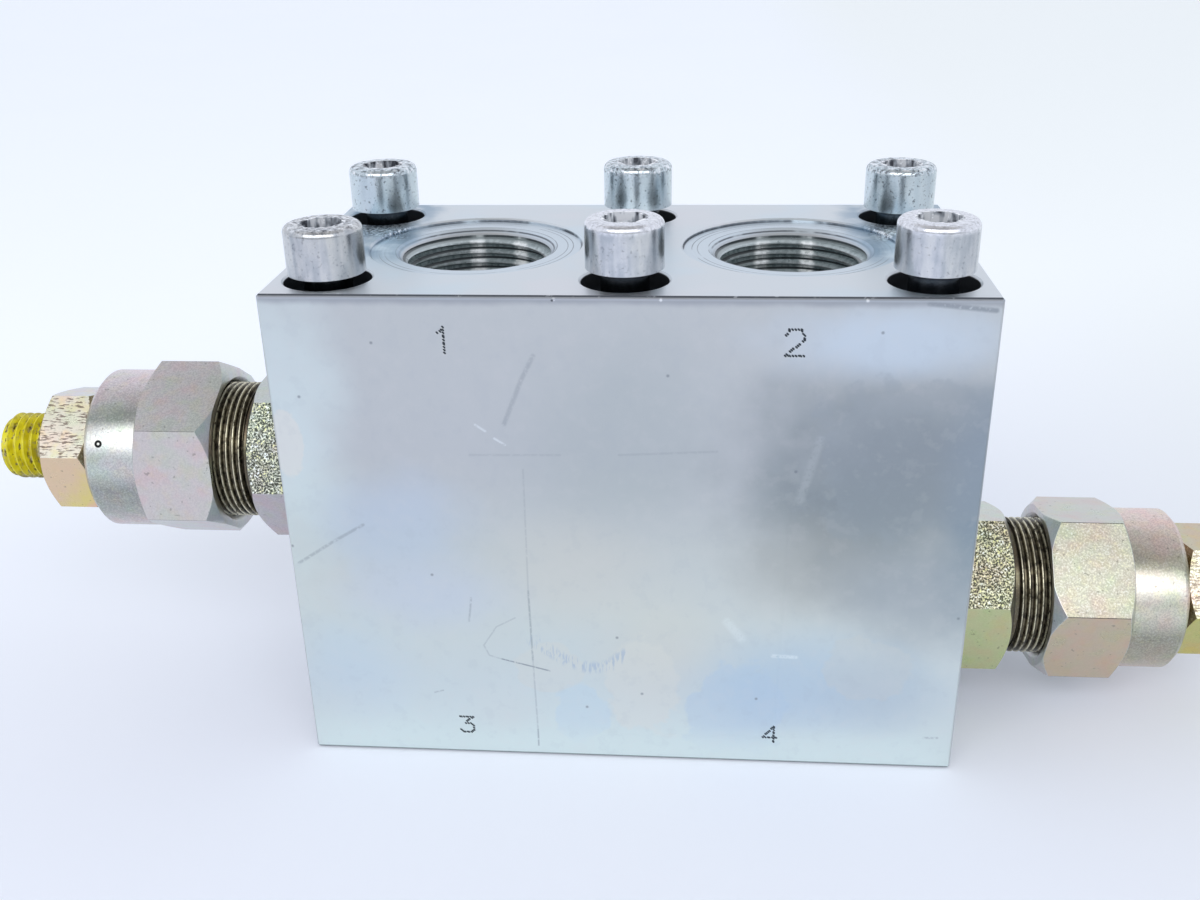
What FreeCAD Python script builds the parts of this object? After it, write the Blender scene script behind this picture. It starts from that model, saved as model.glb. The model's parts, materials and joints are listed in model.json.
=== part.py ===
import FreeCAD, Part
import math
import os
import Sketcher

# Dual cross-over relief valve block: a steel block with two galleries, two relief valve
# cartridges screwed into its ends and six loose mounting screws. Millimetres and degrees.
# Origin on the base, under the middle of the block; X along the cartridges, Z up.

doc = FreeCAD.newDocument("hydraulic_valve_block")

# Driving sizes: name, value, what it is
DRIVING_SIZES = [
    ("block_length", 145.0, "block along X"),
    ("block_depth", 75.0, "block along Y"),
    ("block_height", 110.0, "block along Z"),
    ("block_edge", 0.5, "chamfer of the block's outer edges"),
    ("hole_edge", 0.4, "chamfer of the counterbores and of the spotfaces"),
    ("port_spacing", 69.2, "between the two port axes"),
    ("port_tap_dia", 30.3, "tapped wall of a work port, 1 inch pipe thread"),
    ("port_tap_depth", 22.0, "tapped depth below the spotface"),
    ("port_mouth_dia", 35.6, "countersink at the thread's start"),
    ("spotface_dia", 47.0, "sealing face round a work port"),
    ("spotface_depth", 0.8, "depth of that face"),
    ("passage_dia", 24.0, "vertical gallery under a work port"),
    ("base_port_dia", 26.0, "widened mouth of a gallery in the base"),
    ("base_port_depth", 6.0, "its length above the ring recess"),
    ("base_recess_dia", 36.0, "ring recess round a gallery in the base"),
    ("base_recess_depth", 2.4, "its depth"),
    ("screw_column_spacing", 61.0, "between neighbouring screw columns, along X"),
    ("screw_row_spacing", 52.0, "between the two screw rows, along Y"),
    ("screw_hole_dia", 11.0, "through hole of a mounting screw"),
    ("counterbore_dia", 18.0, "counterbore for its head"),
    ("counterbore_depth", 11.0, "depth of the counterbore"),
    ("screw_dia", 10.0, "mounting screw"),
    ("screw_length", 110.0, "under its head"),
    ("screw_tip_edge", 1.2, "chamfer of its tip"),
    ("head_dia", 16.0, "screw head"),
    ("head_height", 10.0, "screw head"),
    ("head_round", 1.5, "round of the head's top edge"),
    ("head_socket_af", 8.0, "hexagon socket across flats"),
    ("head_socket_depth", 5.0, "hexagon socket"),
    ("front_left_lift", 1.5, "head underside above the block's top"),
    ("front_middle_lift", 2.65, "the same, front middle screw"),
    ("front_right_lift", 2.7, "the same, front right screw"),
    ("back_left_lift", 2.4, "the same, back left screw"),
    ("back_middle_lift", 2.9, "the same, back middle screw"),
    ("back_right_lift", 2.3, "the same, back right screw"),
    ("left_axis_height", 59.2, "left cartridge axis above the base"),
    ("right_axis_height", 26.3, "right cartridge axis above the base"),
    ("body_thread_dia", 27.0, "cartridge thread in the block"),
    ("body_thread_length", 17.0, "its length"),
    ("thread_lead", 1.2, "chamfer of every thread's start"),
    ("thread_runout", 1.5, "cavity thread longer than the cartridge's"),
    ("relief_depth", 1.2, "undercut beside a hexagon, in radius"),
    ("relief_width", 1.6, "undercut beside a hexagon"),
    ("hex_edge", 0.5, "how far a hexagon's chamfer reaches into its flats"),
    ("face_recess_dia", 32.6, "recess of the face seal"),
    ("face_recess_depth", 2.3, "its depth"),
    ("chamber_dia", 24.0, "cavity where the gallery crosses it"),
    ("sleeve_dia", 21.6, "cartridge sleeve in that chamber"),
    ("nose_dia", 20.0, "sealed nose bore"),
    ("nose_length", 13.0, "cartridge nose"),
    ("nose_step", 0.6, "nose bore starts this far past the gallery"),
    ("nose_lead", 2.0, "length of the cone that leads the nose seal in"),
    ("nose_end_gap", 1.0, "nose to the end of its bore"),
    ("nose_edge", 0.8, "chamfer of the nose"),
    ("nose_groove_start", 3.6, "from the nose's end to its seal groove"),
    ("nose_groove_width", 3.8, "seal and backup ring groove"),
    ("nose_groove_depth", 2.0, "groove in radius"),
    ("backup_ring_width", 1.4, "backup ring along the axis"),
    ("drilling_dia", 14.0, "drilling on to the far gallery"),
    ("cross_hole_dia", 7.0, "holes through the sleeve wall"),
    ("seat_dia", 15.0, "pressed-in seat"),
    ("seat_length", 11.0, "pressed-in seat"),
    ("seat_orifice_dia", 9.0, "hole through the seat"),
    ("seat_cone", 1.0, "height of the seat's cone"),
    ("seat_inlet", 0.8, "chamfer where the oil enters the seat"),
    ("guide_dia", 14.0, "bore that guides the poppet"),
    ("guide_length", 16.0, "poppet's guide land"),
    ("groove_pitch", 4.0, "between the guide's pressure grooves"),
    ("groove_width", 0.8, "pressure groove"),
    ("groove_depth", 0.5, "pressure groove"),
    ("poppet_head_dia", 12.0, "poppet's cone at its widest"),
    ("poppet_head_length", 3.0, "straight part behind the cone"),
    ("poppet_stem_dia", 8.0, "neck that the oil flows round"),
    ("poppet_tip_dia", 5.0, "flat end of the cone"),
    ("collar_dia", 17.6, "poppet's spring collar"),
    ("collar_thickness", 3.0, "spring collar"),
    ("collar_gap", 0.5, "collar to the spring bore's floor"),
    ("pilot_dia", 9.4, "spigots that centre the spring"),
    ("pilot_length", 6.0, "spigots that centre the spring"),
    ("pilot_edge", 0.8, "their chamfer"),
    ("spring_bore_dia", 18.4, "bore round spring and spring plate"),
    ("spring_bore_depth", 14.0, "from the block's face inwards"),
    ("spring_bore_edge", 0.8, "chamfer that leads the spring plate in"),
    ("spring_dia", 17.2, "main spring outside"),
    ("spring_wire_dia", 3.2, "main spring wire"),
    ("spring_length", 32.5, "main spring as set"),
    ("spring_coils", 6.5, "main spring"),
    ("plate_length", 9.0, "spring plate's sealed land"),
    ("plate_groove_depth", 1.8, "its seal groove in radius"),
    ("plate_groove_width", 2.4, "its seal groove"),
    ("adjust_travel", 3.0, "adjusting travel each way"),
    ("neck_margin", 2.0, "neck past the plate's outermost place"),
    ("body_hex_af", 36.0, "hexagon on the cartridge body"),
    ("body_hex_length", 15.4, "hexagon on the cartridge body"),
    ("neck_dia", 32.4, "thread that carries the bonnet"),
    ("neck_gap", 8.0, "thread left bare between the hexagons"),
    ("bonnet_hex_af", 38.0, "hexagon on the bonnet"),
    ("bonnet_hex_length", 18.2, "hexagon on the bonnet"),
    ("shoulder_dia", 37.8, "turned end of the bonnet"),
    ("shoulder_edge", 1.3, "its chamfer"),
    ("bonnet_seal_thickness", 1.4, "flat ring on the neck's end"),
    ("bonnet_chamber_length", 2.5, "free room in the bonnet"),
    ("adjuster_thread_length", 13.9, "tapped end wall of the bonnet"),
    ("adjuster_dia", 16.0, "adjusting screw"),
    ("adjuster_tip_dia", 10.0, "its smooth tip"),
    ("adjuster_tip_length", 2.0, "its smooth tip"),
    ("adjuster_stickout", 13.0, "thread past the lock nut"),
    ("adjuster_socket_af", 8.0, "its hexagon socket"),
    ("adjuster_socket_depth", 9.0, "its hexagon socket"),
    ("lock_washer_dia", 26.0, "washer under the lock nut"),
    ("lock_washer_thickness", 1.2, "washer under the lock nut"),
    ("lock_nut_af", 27.0, "lock nut"),
    ("lock_nut_height", 12.0, "lock nut"),
    ("left_body_turn", 55.0, "how each hexagon stands about its axis"),
    ("left_bonnet_turn", 34.0, "the same"),
    ("left_nut_turn", 14.0, "the same"),
    ("right_body_turn", 46.0, "the same"),
    ("right_bonnet_turn", 49.0, "the same"),
    ("right_nut_turn", 56.0, "the same"),
    ("thread_clearance", 0.05, "in radius, between mating threads"),
    ("press_clearance", 0.02, "in radius, between pressed pieces"),
    ("running_clearance", 0.04, "in radius, between sliding pieces"),
    ("seal_clearance", 0.03, "in radius, round a seal"),
    ("seat_clearance", 0.02, "in radius, between poppet and seat"),
]

sheet = doc.addObject("Spreadsheet::Sheet", "Sizes")
for row, (alias, value, note) in enumerate(DRIVING_SIZES, start=1):
    sheet.set(f"A{row}", note)
    sheet.set(f"B{row}", str(value))
    sheet.setAlias(f"B{row}", alias)
doc.recompute()


class Size:
    """A length with the sheet expression that gives it."""

    def __init__(self, text, value):
        self.text = text
        self.value = value

    def __add__(self, other):
        other = as_size(other)
        return Size(f"({self.text} + {other.text})", self.value + other.value)

    def __radd__(self, other):
        return as_size(other) + self

    def __sub__(self, other):
        other = as_size(other)
        return Size(f"({self.text} - {other.text})", self.value - other.value)

    def __rsub__(self, other):
        return as_size(other) - self

    def __mul__(self, factor):
        factor = as_size(factor)
        return Size(f"({self.text} * {factor.text})", self.value * factor.value)

    def __rmul__(self, factor):
        return as_size(factor) * self

    def __truediv__(self, divisor):
        divisor = as_size(divisor)
        return Size(f"({self.text} / {divisor.text})", self.value / divisor.value)

    def __neg__(self):
        return self * -1


def as_size(value):
    return value if isinstance(value, Size) else Size(f"({value})", float(value))


class SizeSheet:
    """The driving sizes as attributes, each tied to its cell."""

    def __init__(self):
        for alias, value, note in DRIVING_SIZES:
            setattr(self, alias, Size(f"Sizes.{alias}", float(sheet.get(alias))))


size = SizeSheet()
ZERO = as_size(0)
OVERCUT = 1.0
HEX_CORNER = 1 / math.sqrt(3)
CHAMFER_SLOPE = math.tan(math.radians(30))

# Stations along a cartridge axis, outwards from the block's end face; negative is inside the block
passage_axis = (size.port_spacing - size.block_length) / 2
nose_start = passage_axis - size.passage_dia / 2 - size.nose_step
nose_end = nose_start - size.nose_length
nose_bore_floor = nose_end - size.nose_end_gap
far_passage_axis = (size.port_spacing + size.block_length) / -2
seat_out = nose_end + size.seat_length
spring_bore_floor = -size.spring_bore_depth
collar_in = spring_bore_floor + size.collar_gap
collar_out = collar_in + size.collar_thickness
plate_in = collar_out + size.spring_length
plate_out = plate_in + size.plate_length
neck_end = plate_out + size.adjust_travel + size.neck_margin
bonnet_start = size.body_hex_length + size.neck_gap
bonnet_hex_end = bonnet_start + size.bonnet_hex_length
bonnet_seal_out = neck_end + size.bonnet_seal_thickness
bonnet_chamber_out = bonnet_seal_out + size.bonnet_chamber_length
bonnet_end = bonnet_chamber_out + size.adjuster_thread_length
washer_out = bonnet_end + size.lock_washer_thickness
nut_out = washer_out + size.lock_nut_height
adjuster_end = nut_out + size.adjuster_stickout


# Sketch and feature helpers

def new_body(label):
    body = doc.addObject("PartDesign::Body", label)
    body.Label = label
    return body


def origin_feature(body, role):
    return next(item for item in body.Origin.OriginFeatures if item.Role == role)


def new_sketch(body, name, role, offset=None):
    sketch = body.newObject("Sketcher::SketchObject", name)
    sketch.AttachmentSupport = (origin_feature(body, role), [""])
    sketch.MapMode = "FlatFace"
    for axis, length in (offset or {}).items():
        sketch.setExpression(f"AttachmentOffset.Base.{axis}", length.text)
    return sketch


def dimension(sketch, kind, curve, point, length):
    index = sketch.addConstraint(Sketcher.Constraint(kind, -1, 1, curve, point, length.value))
    sketch.setExpression(f"Constraints[{index}]", length.text)


def outline(body, name, role, corners, offset=None):
    """A closed straight-sided sketch; each corner is dimensioned from the sketch's origin."""
    sketch = new_sketch(body, name, role, offset)
    corners = [(as_size(x), as_size(y)) for x, y in corners]
    places = [FreeCAD.Vector(x.value, y.value, 0) for x, y in corners]
    count = len(corners)
    for index in range(count):
        sketch.addGeometry(Part.LineSegment(places[index], places[(index + 1) % count]), False)
    for index in range(count):
        sketch.addConstraint(Sketcher.Constraint("Coincident", index, 2, (index + 1) % count, 1))
    for index, (x, y) in enumerate(corners):
        dimension(sketch, "DistanceX", index, 1, x)
        dimension(sketch, "DistanceY", index, 1, y)
    return sketch


def circles(body, name, role, places, diameter, offset=None):
    sketch = new_sketch(body, name, role, offset)
    for index, (x, y) in enumerate(places):
        x, y = as_size(x), as_size(y)
        middle = FreeCAD.Vector(x.value, y.value, 0)
        sketch.addGeometry(Part.Circle(middle, FreeCAD.Vector(0, 0, 1), diameter.value / 2), False)
        dimension(sketch, "DistanceX", index, 3, x)
        dimension(sketch, "DistanceY", index, 3, y)
        ring = sketch.addConstraint(Sketcher.Constraint("Diameter", index, diameter.value))
        sketch.setExpression(f"Constraints[{ring}]", diameter.text)
    return sketch


def turn(body, name, corners, axis="H_Axis", offset=None, cut=False):
    """Revolves an outline in the XZ plane about the sketch's own axis."""
    kind = "PartDesign::Groove" if cut else "PartDesign::Revolution"
    sketch = outline(body, name + "_outline", "XZ_Plane", corners, offset)
    feature = body.newObject(kind, name)
    feature.Profile = sketch
    feature.ReferenceAxis = (sketch, [axis])
    feature.Angle = 360
    return feature


def pad(body, name, sketch, length):
    feature = body.newObject("PartDesign::Pad", name)
    feature.Profile = sketch
    feature.setExpression("Length", length.text)
    return feature


def pocket(body, name, sketch, depth):
    feature = body.newObject("PartDesign::Pocket", name)
    feature.Profile = sketch
    feature.setExpression("Length", depth.text)
    return feature


def hexagon(across_flats):
    """Corners of a hexagon round the origin; two of them lie on the sketch's first axis."""
    corner = across_flats * HEX_CORNER
    flat = across_flats / 2
    half = corner / 2
    return [(corner, ZERO), (half, flat), (-half, flat), (-corner, ZERO), (-half, -flat), (half, -flat)]


def hexagon_prism(body, name, across_flats, start, length):
    sketch = outline(body, name + "_outline", "YZ_Plane", hexagon(across_flats), {"z": start})
    return pad(body, name, sketch, length)


def trim_corners(body, name, across_flats, face, outwards, land, slope=CHAMFER_SLOPE):
    """Turns a cone on the corners of a hexagon at one of its ends."""
    top = across_flats * HEX_CORNER + OVERCUT
    direction = 1 if outwards else -1
    run = (top - land) * slope * direction
    corners = [(face + direction * OVERCUT, land), (face + direction * OVERCUT, top),
               (face - run, top), (face, land)]
    return turn(body, name, corners, cut=True)


def along_axis(item, side, turn_angle=None):
    """Sets a piece on its cartridge's axis; on the left one, outwards is -X."""
    roll = FreeCAD.Rotation(FreeCAD.Vector(1, 0, 0), turn_angle.value if turn_angle else 0)
    swing = FreeCAD.Rotation(FreeCAD.Vector(0, 0, 1), 0 if side == "right" else 180)
    item.Placement = FreeCAD.Placement(FreeCAD.Vector(0, 0, 0), swing.multiply(roll))
    height = size.right_axis_height if side == "right" else size.left_axis_height
    half = size.block_length / (2 if side == "right" else -2)
    item.setExpression("Placement.Base.x", half.text)
    item.setExpression("Placement.Base.z", height.text)


def mirrored(body, name, originals, role):
    feature = body.newObject("PartDesign::Mirrored", name)
    feature.Originals = originals
    feature.MirrorPlane = (origin_feature(body, role), [""])
    body.Tip = feature
    return feature


# The block

def work_port(body):
    """Spotface, countersink, tapped bore, gallery, its mouth in the base and the ring recess."""
    top = size.block_height
    spotface = top - size.spotface_depth
    tap = size.port_tap_dia / 2
    mouth = size.port_mouth_dia / 2
    passage = size.passage_dia / 2
    base_port = size.base_port_dia / 2
    recess = size.base_recess_dia / 2
    rim = size.spotface_dia / 2
    tap_end = spotface - size.port_tap_depth
    base_port_end = size.base_recess_depth + size.base_port_depth
    corners = [
        (ZERO, top + OVERCUT),
        (rim + size.hole_edge + OVERCUT, top + OVERCUT),
        (rim, top - size.hole_edge),
        (rim, spotface),
        (mouth, spotface),
        (tap, spotface - (mouth - tap)),
        (tap, tap_end),
        (passage, tap_end - (tap - passage) * CHAMFER_SLOPE),
        (passage, base_port_end + (base_port - passage) * CHAMFER_SLOPE),
        (base_port, base_port_end),
        (base_port, size.base_recess_depth),
        (recess, size.base_recess_depth),
        (recess, -OVERCUT),
        (ZERO, -OVERCUT),
    ]
    half_spacing = size.port_spacing / 2
    port = turn(body, "port", corners, axis="V_Axis", offset={"x": -half_spacing}, cut=True)
    mirrored(body, "second_port", [port], "YZ_Plane")


def cartridge_cavity(body, side):
    """Stepped cavity from one end face to the far gallery."""
    sign = 1 if side == "right" else -1
    thread = size.body_thread_dia / 2 + size.thread_clearance
    nose = size.nose_dia / 2
    chamber = size.chamber_dia / 2
    drilling = size.drilling_dia / 2
    thread_end = -(size.body_thread_length + size.thread_runout)
    steps = [
        (far_passage_axis, ZERO),
        (far_passage_axis, drilling),
        (nose_bore_floor - (nose - drilling) * CHAMFER_SLOPE, drilling),
        (nose_bore_floor, nose),
        (nose_start - size.nose_lead, nose),
        (nose_start, chamber),
        (thread_end - (thread - chamber) * CHAMFER_SLOPE, chamber),
        (thread_end, thread),
        (-size.face_recess_depth, thread),
        (-size.face_recess_depth, size.face_recess_dia / 2),
        (as_size(OVERCUT), size.face_recess_dia / 2),
        (as_size(OVERCUT), ZERO),
    ]
    corners = [((size.block_length / 2 + station) * sign, radius) for station, radius in steps]
    height = size.right_axis_height if side == "right" else size.left_axis_height
    turn(body, side + "_cavity", corners, offset={"y": height}, cut=True)


def screw_hole(body, name, x, y):
    """Counterbored hole right through the block, its rim broken."""
    top = size.block_height
    rim = size.counterbore_dia / 2
    hole = size.screw_hole_dia / 2
    floor = top - size.counterbore_depth
    corners = [
        (ZERO, top + OVERCUT),
        (rim + size.hole_edge + OVERCUT, top + OVERCUT),
        (rim, top - size.hole_edge),
        (rim, floor),
        (hole, floor),
        (hole, -OVERCUT),
        (ZERO, -OVERCUT),
    ]
    turn(body, name, corners, axis="V_Axis", offset={"x": x, "z": -y}, cut=True)


def screw_places():
    for row, y in (("front", size.screw_row_spacing / -2), ("back", size.screw_row_spacing / 2)):
        for column, x in (("left", -size.screw_column_spacing), ("middle", ZERO),
                          ("right", size.screw_column_spacing)):
            yield row, column, x, y


def build_block():
    body = new_body("valve_block")
    half_length = size.block_length / 2
    half_depth = size.block_depth / 2
    base = outline(body, "base_outline", "XY_Plane", [
        (-half_length, -half_depth), (half_length, -half_depth),
        (half_length, half_depth), (-half_length, half_depth)])
    blank = pad(body, "blank", base, size.block_height)
    doc.recompute()
    edges = body.newObject("PartDesign::Chamfer", "block_edges")
    edges.Base = (blank, [f"Edge{index + 1}" for index in range(len(blank.Shape.Edges))])
    edges.setExpression("Size", size.block_edge.text)
    work_port(body)
    for side in ("left", "right"):
        cartridge_cavity(body, side)
    for row, column, x, y in screw_places():
        screw_hole(body, f"{row}_{column}_screw_hole", x, y)


def build_base_seal(side):
    """Ring in the base recess, drawn at its squeezed height."""
    ring = doc.addObject("Part::Torus", side + "_base_seal")
    ring.Label = side + "_base_seal"
    section = size.base_recess_depth / 2
    ring.setExpression("Radius1", (size.base_recess_dia / 2 - size.seal_clearance - section).text)
    ring.setExpression("Radius2", section.text)
    ring.setExpression("Placement.Base.x", (size.port_spacing / (2 if side == "right" else -2)).text)
    ring.setExpression("Placement.Base.z", section.text)


# The mounting screws

def build_mounting_screw(row, column, x, y, lift):
    label = f"{row}_{column}_mounting_screw"
    body = new_body(label)
    shank = size.screw_dia / 2
    head = size.head_dia / 2
    tip = -size.screw_length
    turn(body, "screw", [
        (ZERO, tip), (shank - size.screw_tip_edge, tip), (shank, tip + size.screw_tip_edge),
        (shank, ZERO), (head, ZERO), (head, size.head_height), (ZERO, size.head_height)],
        axis="V_Axis")
    doc.recompute()
    turned = body.Tip
    rim = [f"Edge{index + 1}" for index, edge in enumerate(turned.Shape.Edges)
           if isinstance(edge.Curve, Part.Circle)
           and abs(edge.Curve.Radius - head.value) < 1e-6
           and abs(edge.Curve.Center.z - size.head_height.value) < 1e-6]
    rounded = body.newObject("PartDesign::Fillet", "head_round")
    rounded.Base = (turned, rim)
    rounded.setExpression("Radius", size.head_round.text)
    socket = outline(body, "socket_outline", "XY_Plane", hexagon(size.head_socket_af),
                     {"z": size.head_height})
    pocket(body, "socket", socket, size.head_socket_depth)
    body.setExpression("Placement.Base.x", x.text)
    body.setExpression("Placement.Base.y", y.text)
    body.setExpression("Placement.Base.z", (size.block_height + lift).text)


# The relief valve cartridges

def build_valve_body(side, turn_angle):
    body = new_body(side + "_valve_body")
    nose = size.nose_dia / 2 - size.running_clearance
    sleeve = size.sleeve_dia / 2
    thread = size.body_thread_dia / 2
    neck = size.neck_dia / 2
    lead = size.thread_lead
    groove_in = nose_end + size.nose_groove_start
    groove_out = groove_in + size.nose_groove_width
    groove = size.nose_dia / 2 - size.nose_groove_depth
    under_hex = -(size.face_recess_depth + size.relief_width)
    neck_start = size.body_hex_length + size.relief_width
    hexagon_prism(body, "hexagon", size.body_hex_af, ZERO, size.body_hex_length)
    turn(body, "turned", [
        (nose_end, ZERO),
        (nose_end, nose - size.nose_edge),
        (nose_end + size.nose_edge, nose),
        (groove_in, nose),
        (groove_in, groove),
        (groove_out, groove),
        (groove_out, nose),
        (nose_start + size.nose_step, nose),
        (nose_start + size.nose_step + (sleeve - nose), sleeve),
        (-size.body_thread_length, sleeve),
        (-size.body_thread_length, thread - lead),
        (lead - size.body_thread_length, thread),
        (under_hex, thread),
        (under_hex, thread - size.relief_depth),
        (size.body_hex_length, thread - size.relief_depth),
        (size.body_hex_length, neck - size.relief_depth),
        (neck_start, neck - size.relief_depth),
        (neck_start, neck),
        (neck_end - lead, neck),
        (neck_end, neck - lead),
        (neck_end, ZERO),
    ])
    land = size.body_hex_af / 2 - size.hex_edge
    trim_corners(body, "inner_hexagon_edge", size.body_hex_af, ZERO, False, land)
    trim_corners(body, "outer_hexagon_edge", size.body_hex_af, size.body_hex_length, True, land)
    seat = size.seat_dia / 2
    guide = size.guide_dia / 2
    spring = size.spring_bore_dia / 2
    turn(body, "bores", [
        (nose_end - OVERCUT, ZERO),
        (nose_end - OVERCUT, seat),
        (seat_out, seat),
        (seat_out, guide),
        (spring_bore_floor, guide),
        (spring_bore_floor, spring),
        (neck_end - size.spring_bore_edge, spring),
        (neck_end + OVERCUT, spring + size.spring_bore_edge + OVERCUT),
        (neck_end + OVERCUT, ZERO),
    ], cut=True)
    cross = circles(body, "cross_hole_circle", "XY_Plane", [(passage_axis, ZERO)],
                    size.cross_hole_dia, {"z": size.chamber_dia})
    hole = pocket(body, "cross_hole", cross, size.chamber_dia * 2)
    ring = body.newObject("PartDesign::PolarPattern", "cross_holes")
    ring.Originals = [hole]
    ring.Axis = (origin_feature(body, "X_Axis"), [""])
    ring.Angle = 90
    ring.Occurrences = 2
    body.Tip = ring
    along_axis(body, side, turn_angle)


def build_valve_seat(side):
    body = new_body(side + "_valve_seat")
    outside = size.seat_dia / 2 - size.press_clearance
    orifice = size.seat_orifice_dia / 2
    turn(body, "seat", [
        (nose_end, orifice + size.seat_inlet),
        (nose_end + size.seat_inlet, orifice),
        (seat_out - size.seat_cone, orifice),
        (seat_out, orifice + size.seat_cone),
        (seat_out, outside),
        (nose_end + size.seat_inlet, outside),
        (nose_end, outside - size.seat_inlet),
    ])
    along_axis(body, side)


def build_poppet(side):
    body = new_body(side + "_poppet")
    tip = size.poppet_tip_dia / 2
    head = size.poppet_head_dia / 2
    stem = size.poppet_stem_dia / 2
    guide = size.guide_dia / 2 - size.running_clearance
    collar = size.collar_dia / 2
    pilot = size.pilot_dia / 2
    cone_root = seat_out - size.seat_cone - (size.seat_orifice_dia / 2 - size.seat_clearance)
    head_start = cone_root + head
    head_end = head_start + size.poppet_head_length
    guide_start = collar_in - size.guide_length
    pilot_end = collar_out + size.pilot_length
    turn(body, "poppet", [
        (cone_root + tip, ZERO),
        (cone_root + tip, tip),
        (head_start, head),
        (head_end, head),
        (head_end + (head - stem), stem),
        (guide_start - (guide - stem) * CHAMFER_SLOPE, stem),
        (guide_start, guide),
        (collar_in, guide),
        (collar_in, collar),
        (collar_out, collar),
        (collar_out, pilot),
        (pilot_end - size.pilot_edge, pilot),
        (pilot_end, pilot - size.pilot_edge),
        (pilot_end, ZERO),
    ])
    first = guide_start + size.groove_pitch / 2
    groove = turn(body, "pressure_groove", [
        (first, guide - size.groove_depth),
        (first, guide + OVERCUT),
        (first + size.groove_width, guide + OVERCUT),
        (first + size.groove_width, guide - size.groove_depth),
    ], cut=True)
    row = body.newObject("PartDesign::LinearPattern", "pressure_grooves")
    row.Originals = [groove]
    row.Direction = (origin_feature(body, "X_Axis"), [""])
    row.Occurrences = 3
    row.setExpression("Length", (size.groove_pitch * 2).text)
    body.Tip = row
    along_axis(body, side)


def build_main_spring(side):
    """Round wire coil, its two end coils ground flat where they seat."""
    label = side + "_main_spring"
    wire = size.spring_wire_dia / 2
    mean = size.spring_dia / 2 - wire
    path = doc.addObject("Part::Helix", label + "_path")
    path.setExpression("Pitch", (size.spring_length / size.spring_coils).text)
    path.setExpression("Height", (size.spring_length + size.spring_wire_dia).text)
    path.setExpression("Radius", mean.text)
    path.SegmentLength = 1
    path.setExpression("Placement.Base.z", (-wire).text)
    section = doc.addObject("Part::Circle", label + "_section")
    section.setExpression("Radius", wire.text)
    section.Placement = FreeCAD.Placement(FreeCAD.Vector(0, 0, 0),
                                          FreeCAD.Rotation(FreeCAD.Vector(1, 0, 0), 90))
    section.setExpression("Placement.Base.x", mean.text)
    section.setExpression("Placement.Base.z", (-wire).text)
    coil = doc.addObject("Part::Sweep", label + "_coil")
    coil.Sections = [section]
    coil.Spine = (path, [])
    coil.Solid = True
    coil.Frenet = True
    grinding = doc.addObject("Part::Cylinder", label + "_ground_length")
    grinding.setExpression("Radius", (size.spring_dia / 2 + OVERCUT).text)
    grinding.setExpression("Height", size.spring_length.text)
    spring = doc.addObject("Part::Common", label)
    spring.Label = label
    spring.Base = coil
    spring.Tool = grinding
    swing = FreeCAD.Rotation(FreeCAD.Vector(0, 1, 0), 90 if side == "right" else -90)
    spring.Placement = FreeCAD.Placement(FreeCAD.Vector(0, 0, 0), swing)
    start = size.block_length / 2 + collar_out
    spring.setExpression("Placement.Base.x", (start if side == "right" else -start).text)
    height = size.right_axis_height if side == "right" else size.left_axis_height
    spring.setExpression("Placement.Base.z", height.text)


def build_spring_plate(side):
    body = new_body(side + "_spring_plate")
    pilot = size.pilot_dia / 2
    land = size.spring_bore_dia / 2 - size.running_clearance
    pilot_start = plate_in - size.pilot_length
    middle = (plate_in + plate_out) / 2
    groove_in = middle - size.plate_groove_width / 2
    groove_out = middle + size.plate_groove_width / 2
    groove = size.spring_bore_dia / 2 - size.plate_groove_depth
    turn(body, "plate", [
        (pilot_start, ZERO),
        (pilot_start, pilot - size.pilot_edge),
        (pilot_start + size.pilot_edge, pilot),
        (plate_in, pilot),
        (plate_in, land),
        (groove_in, land),
        (groove_in, groove),
        (groove_out, groove),
        (groove_out, land),
        (plate_out, land),
        (plate_out, ZERO),
    ])
    along_axis(body, side)


def build_ring(label, side, middle, inner, outer, width=None):
    """A seal round a cartridge axis: a round ring, or a flat one where a width is given."""
    if width is not None:
        body = new_body(label)
        start, end = middle - width / 2, middle + width / 2
        turn(body, "ring", [(start, inner), (end, inner), (end, outer), (start, outer)])
        along_axis(body, side)
        return
    ring = doc.addObject("Part::Torus", label)
    ring.Label = label
    ring.setExpression("Radius1", ((inner + outer) / 2).text)
    ring.setExpression("Radius2", ((outer - inner) / 2).text)
    ring.Placement = FreeCAD.Placement(FreeCAD.Vector(0, 0, 0),
                                       FreeCAD.Rotation(FreeCAD.Vector(0, 1, 0), 90))
    station = size.block_length / 2 + middle
    height = size.right_axis_height if side == "right" else size.left_axis_height
    ring.setExpression("Placement.Base.x", (station if side == "right" else -station).text)
    ring.setExpression("Placement.Base.z", height.text)


def build_seals(side):
    clear = size.seal_clearance
    section = size.face_recess_depth
    outer = size.face_recess_dia / 2 - clear
    build_ring(side + "_face_seal", side, section / -2, outer - section, outer)
    nose = size.nose_dia / 2
    groove = nose - size.nose_groove_depth
    groove_in = nose_end + size.nose_groove_start
    seal_middle = groove_in + size.nose_groove_depth / 2
    backup_middle = groove_in + size.nose_groove_width - size.backup_ring_width / 2
    build_ring(side + "_nose_seal", side, seal_middle, groove + clear, nose - clear)
    build_ring(side + "_nose_backup_ring", side, backup_middle, groove + clear, nose - clear,
               size.backup_ring_width)
    bore = size.spring_bore_dia / 2
    build_ring(side + "_spring_plate_seal", side, (plate_in + plate_out) / 2,
               bore - size.plate_groove_depth + clear, bore - clear)
    build_ring(side + "_bonnet_seal", side, (neck_end + bonnet_seal_out) / 2,
               size.chamber_dia / 2, size.neck_dia / 2, size.bonnet_seal_thickness)


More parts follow.
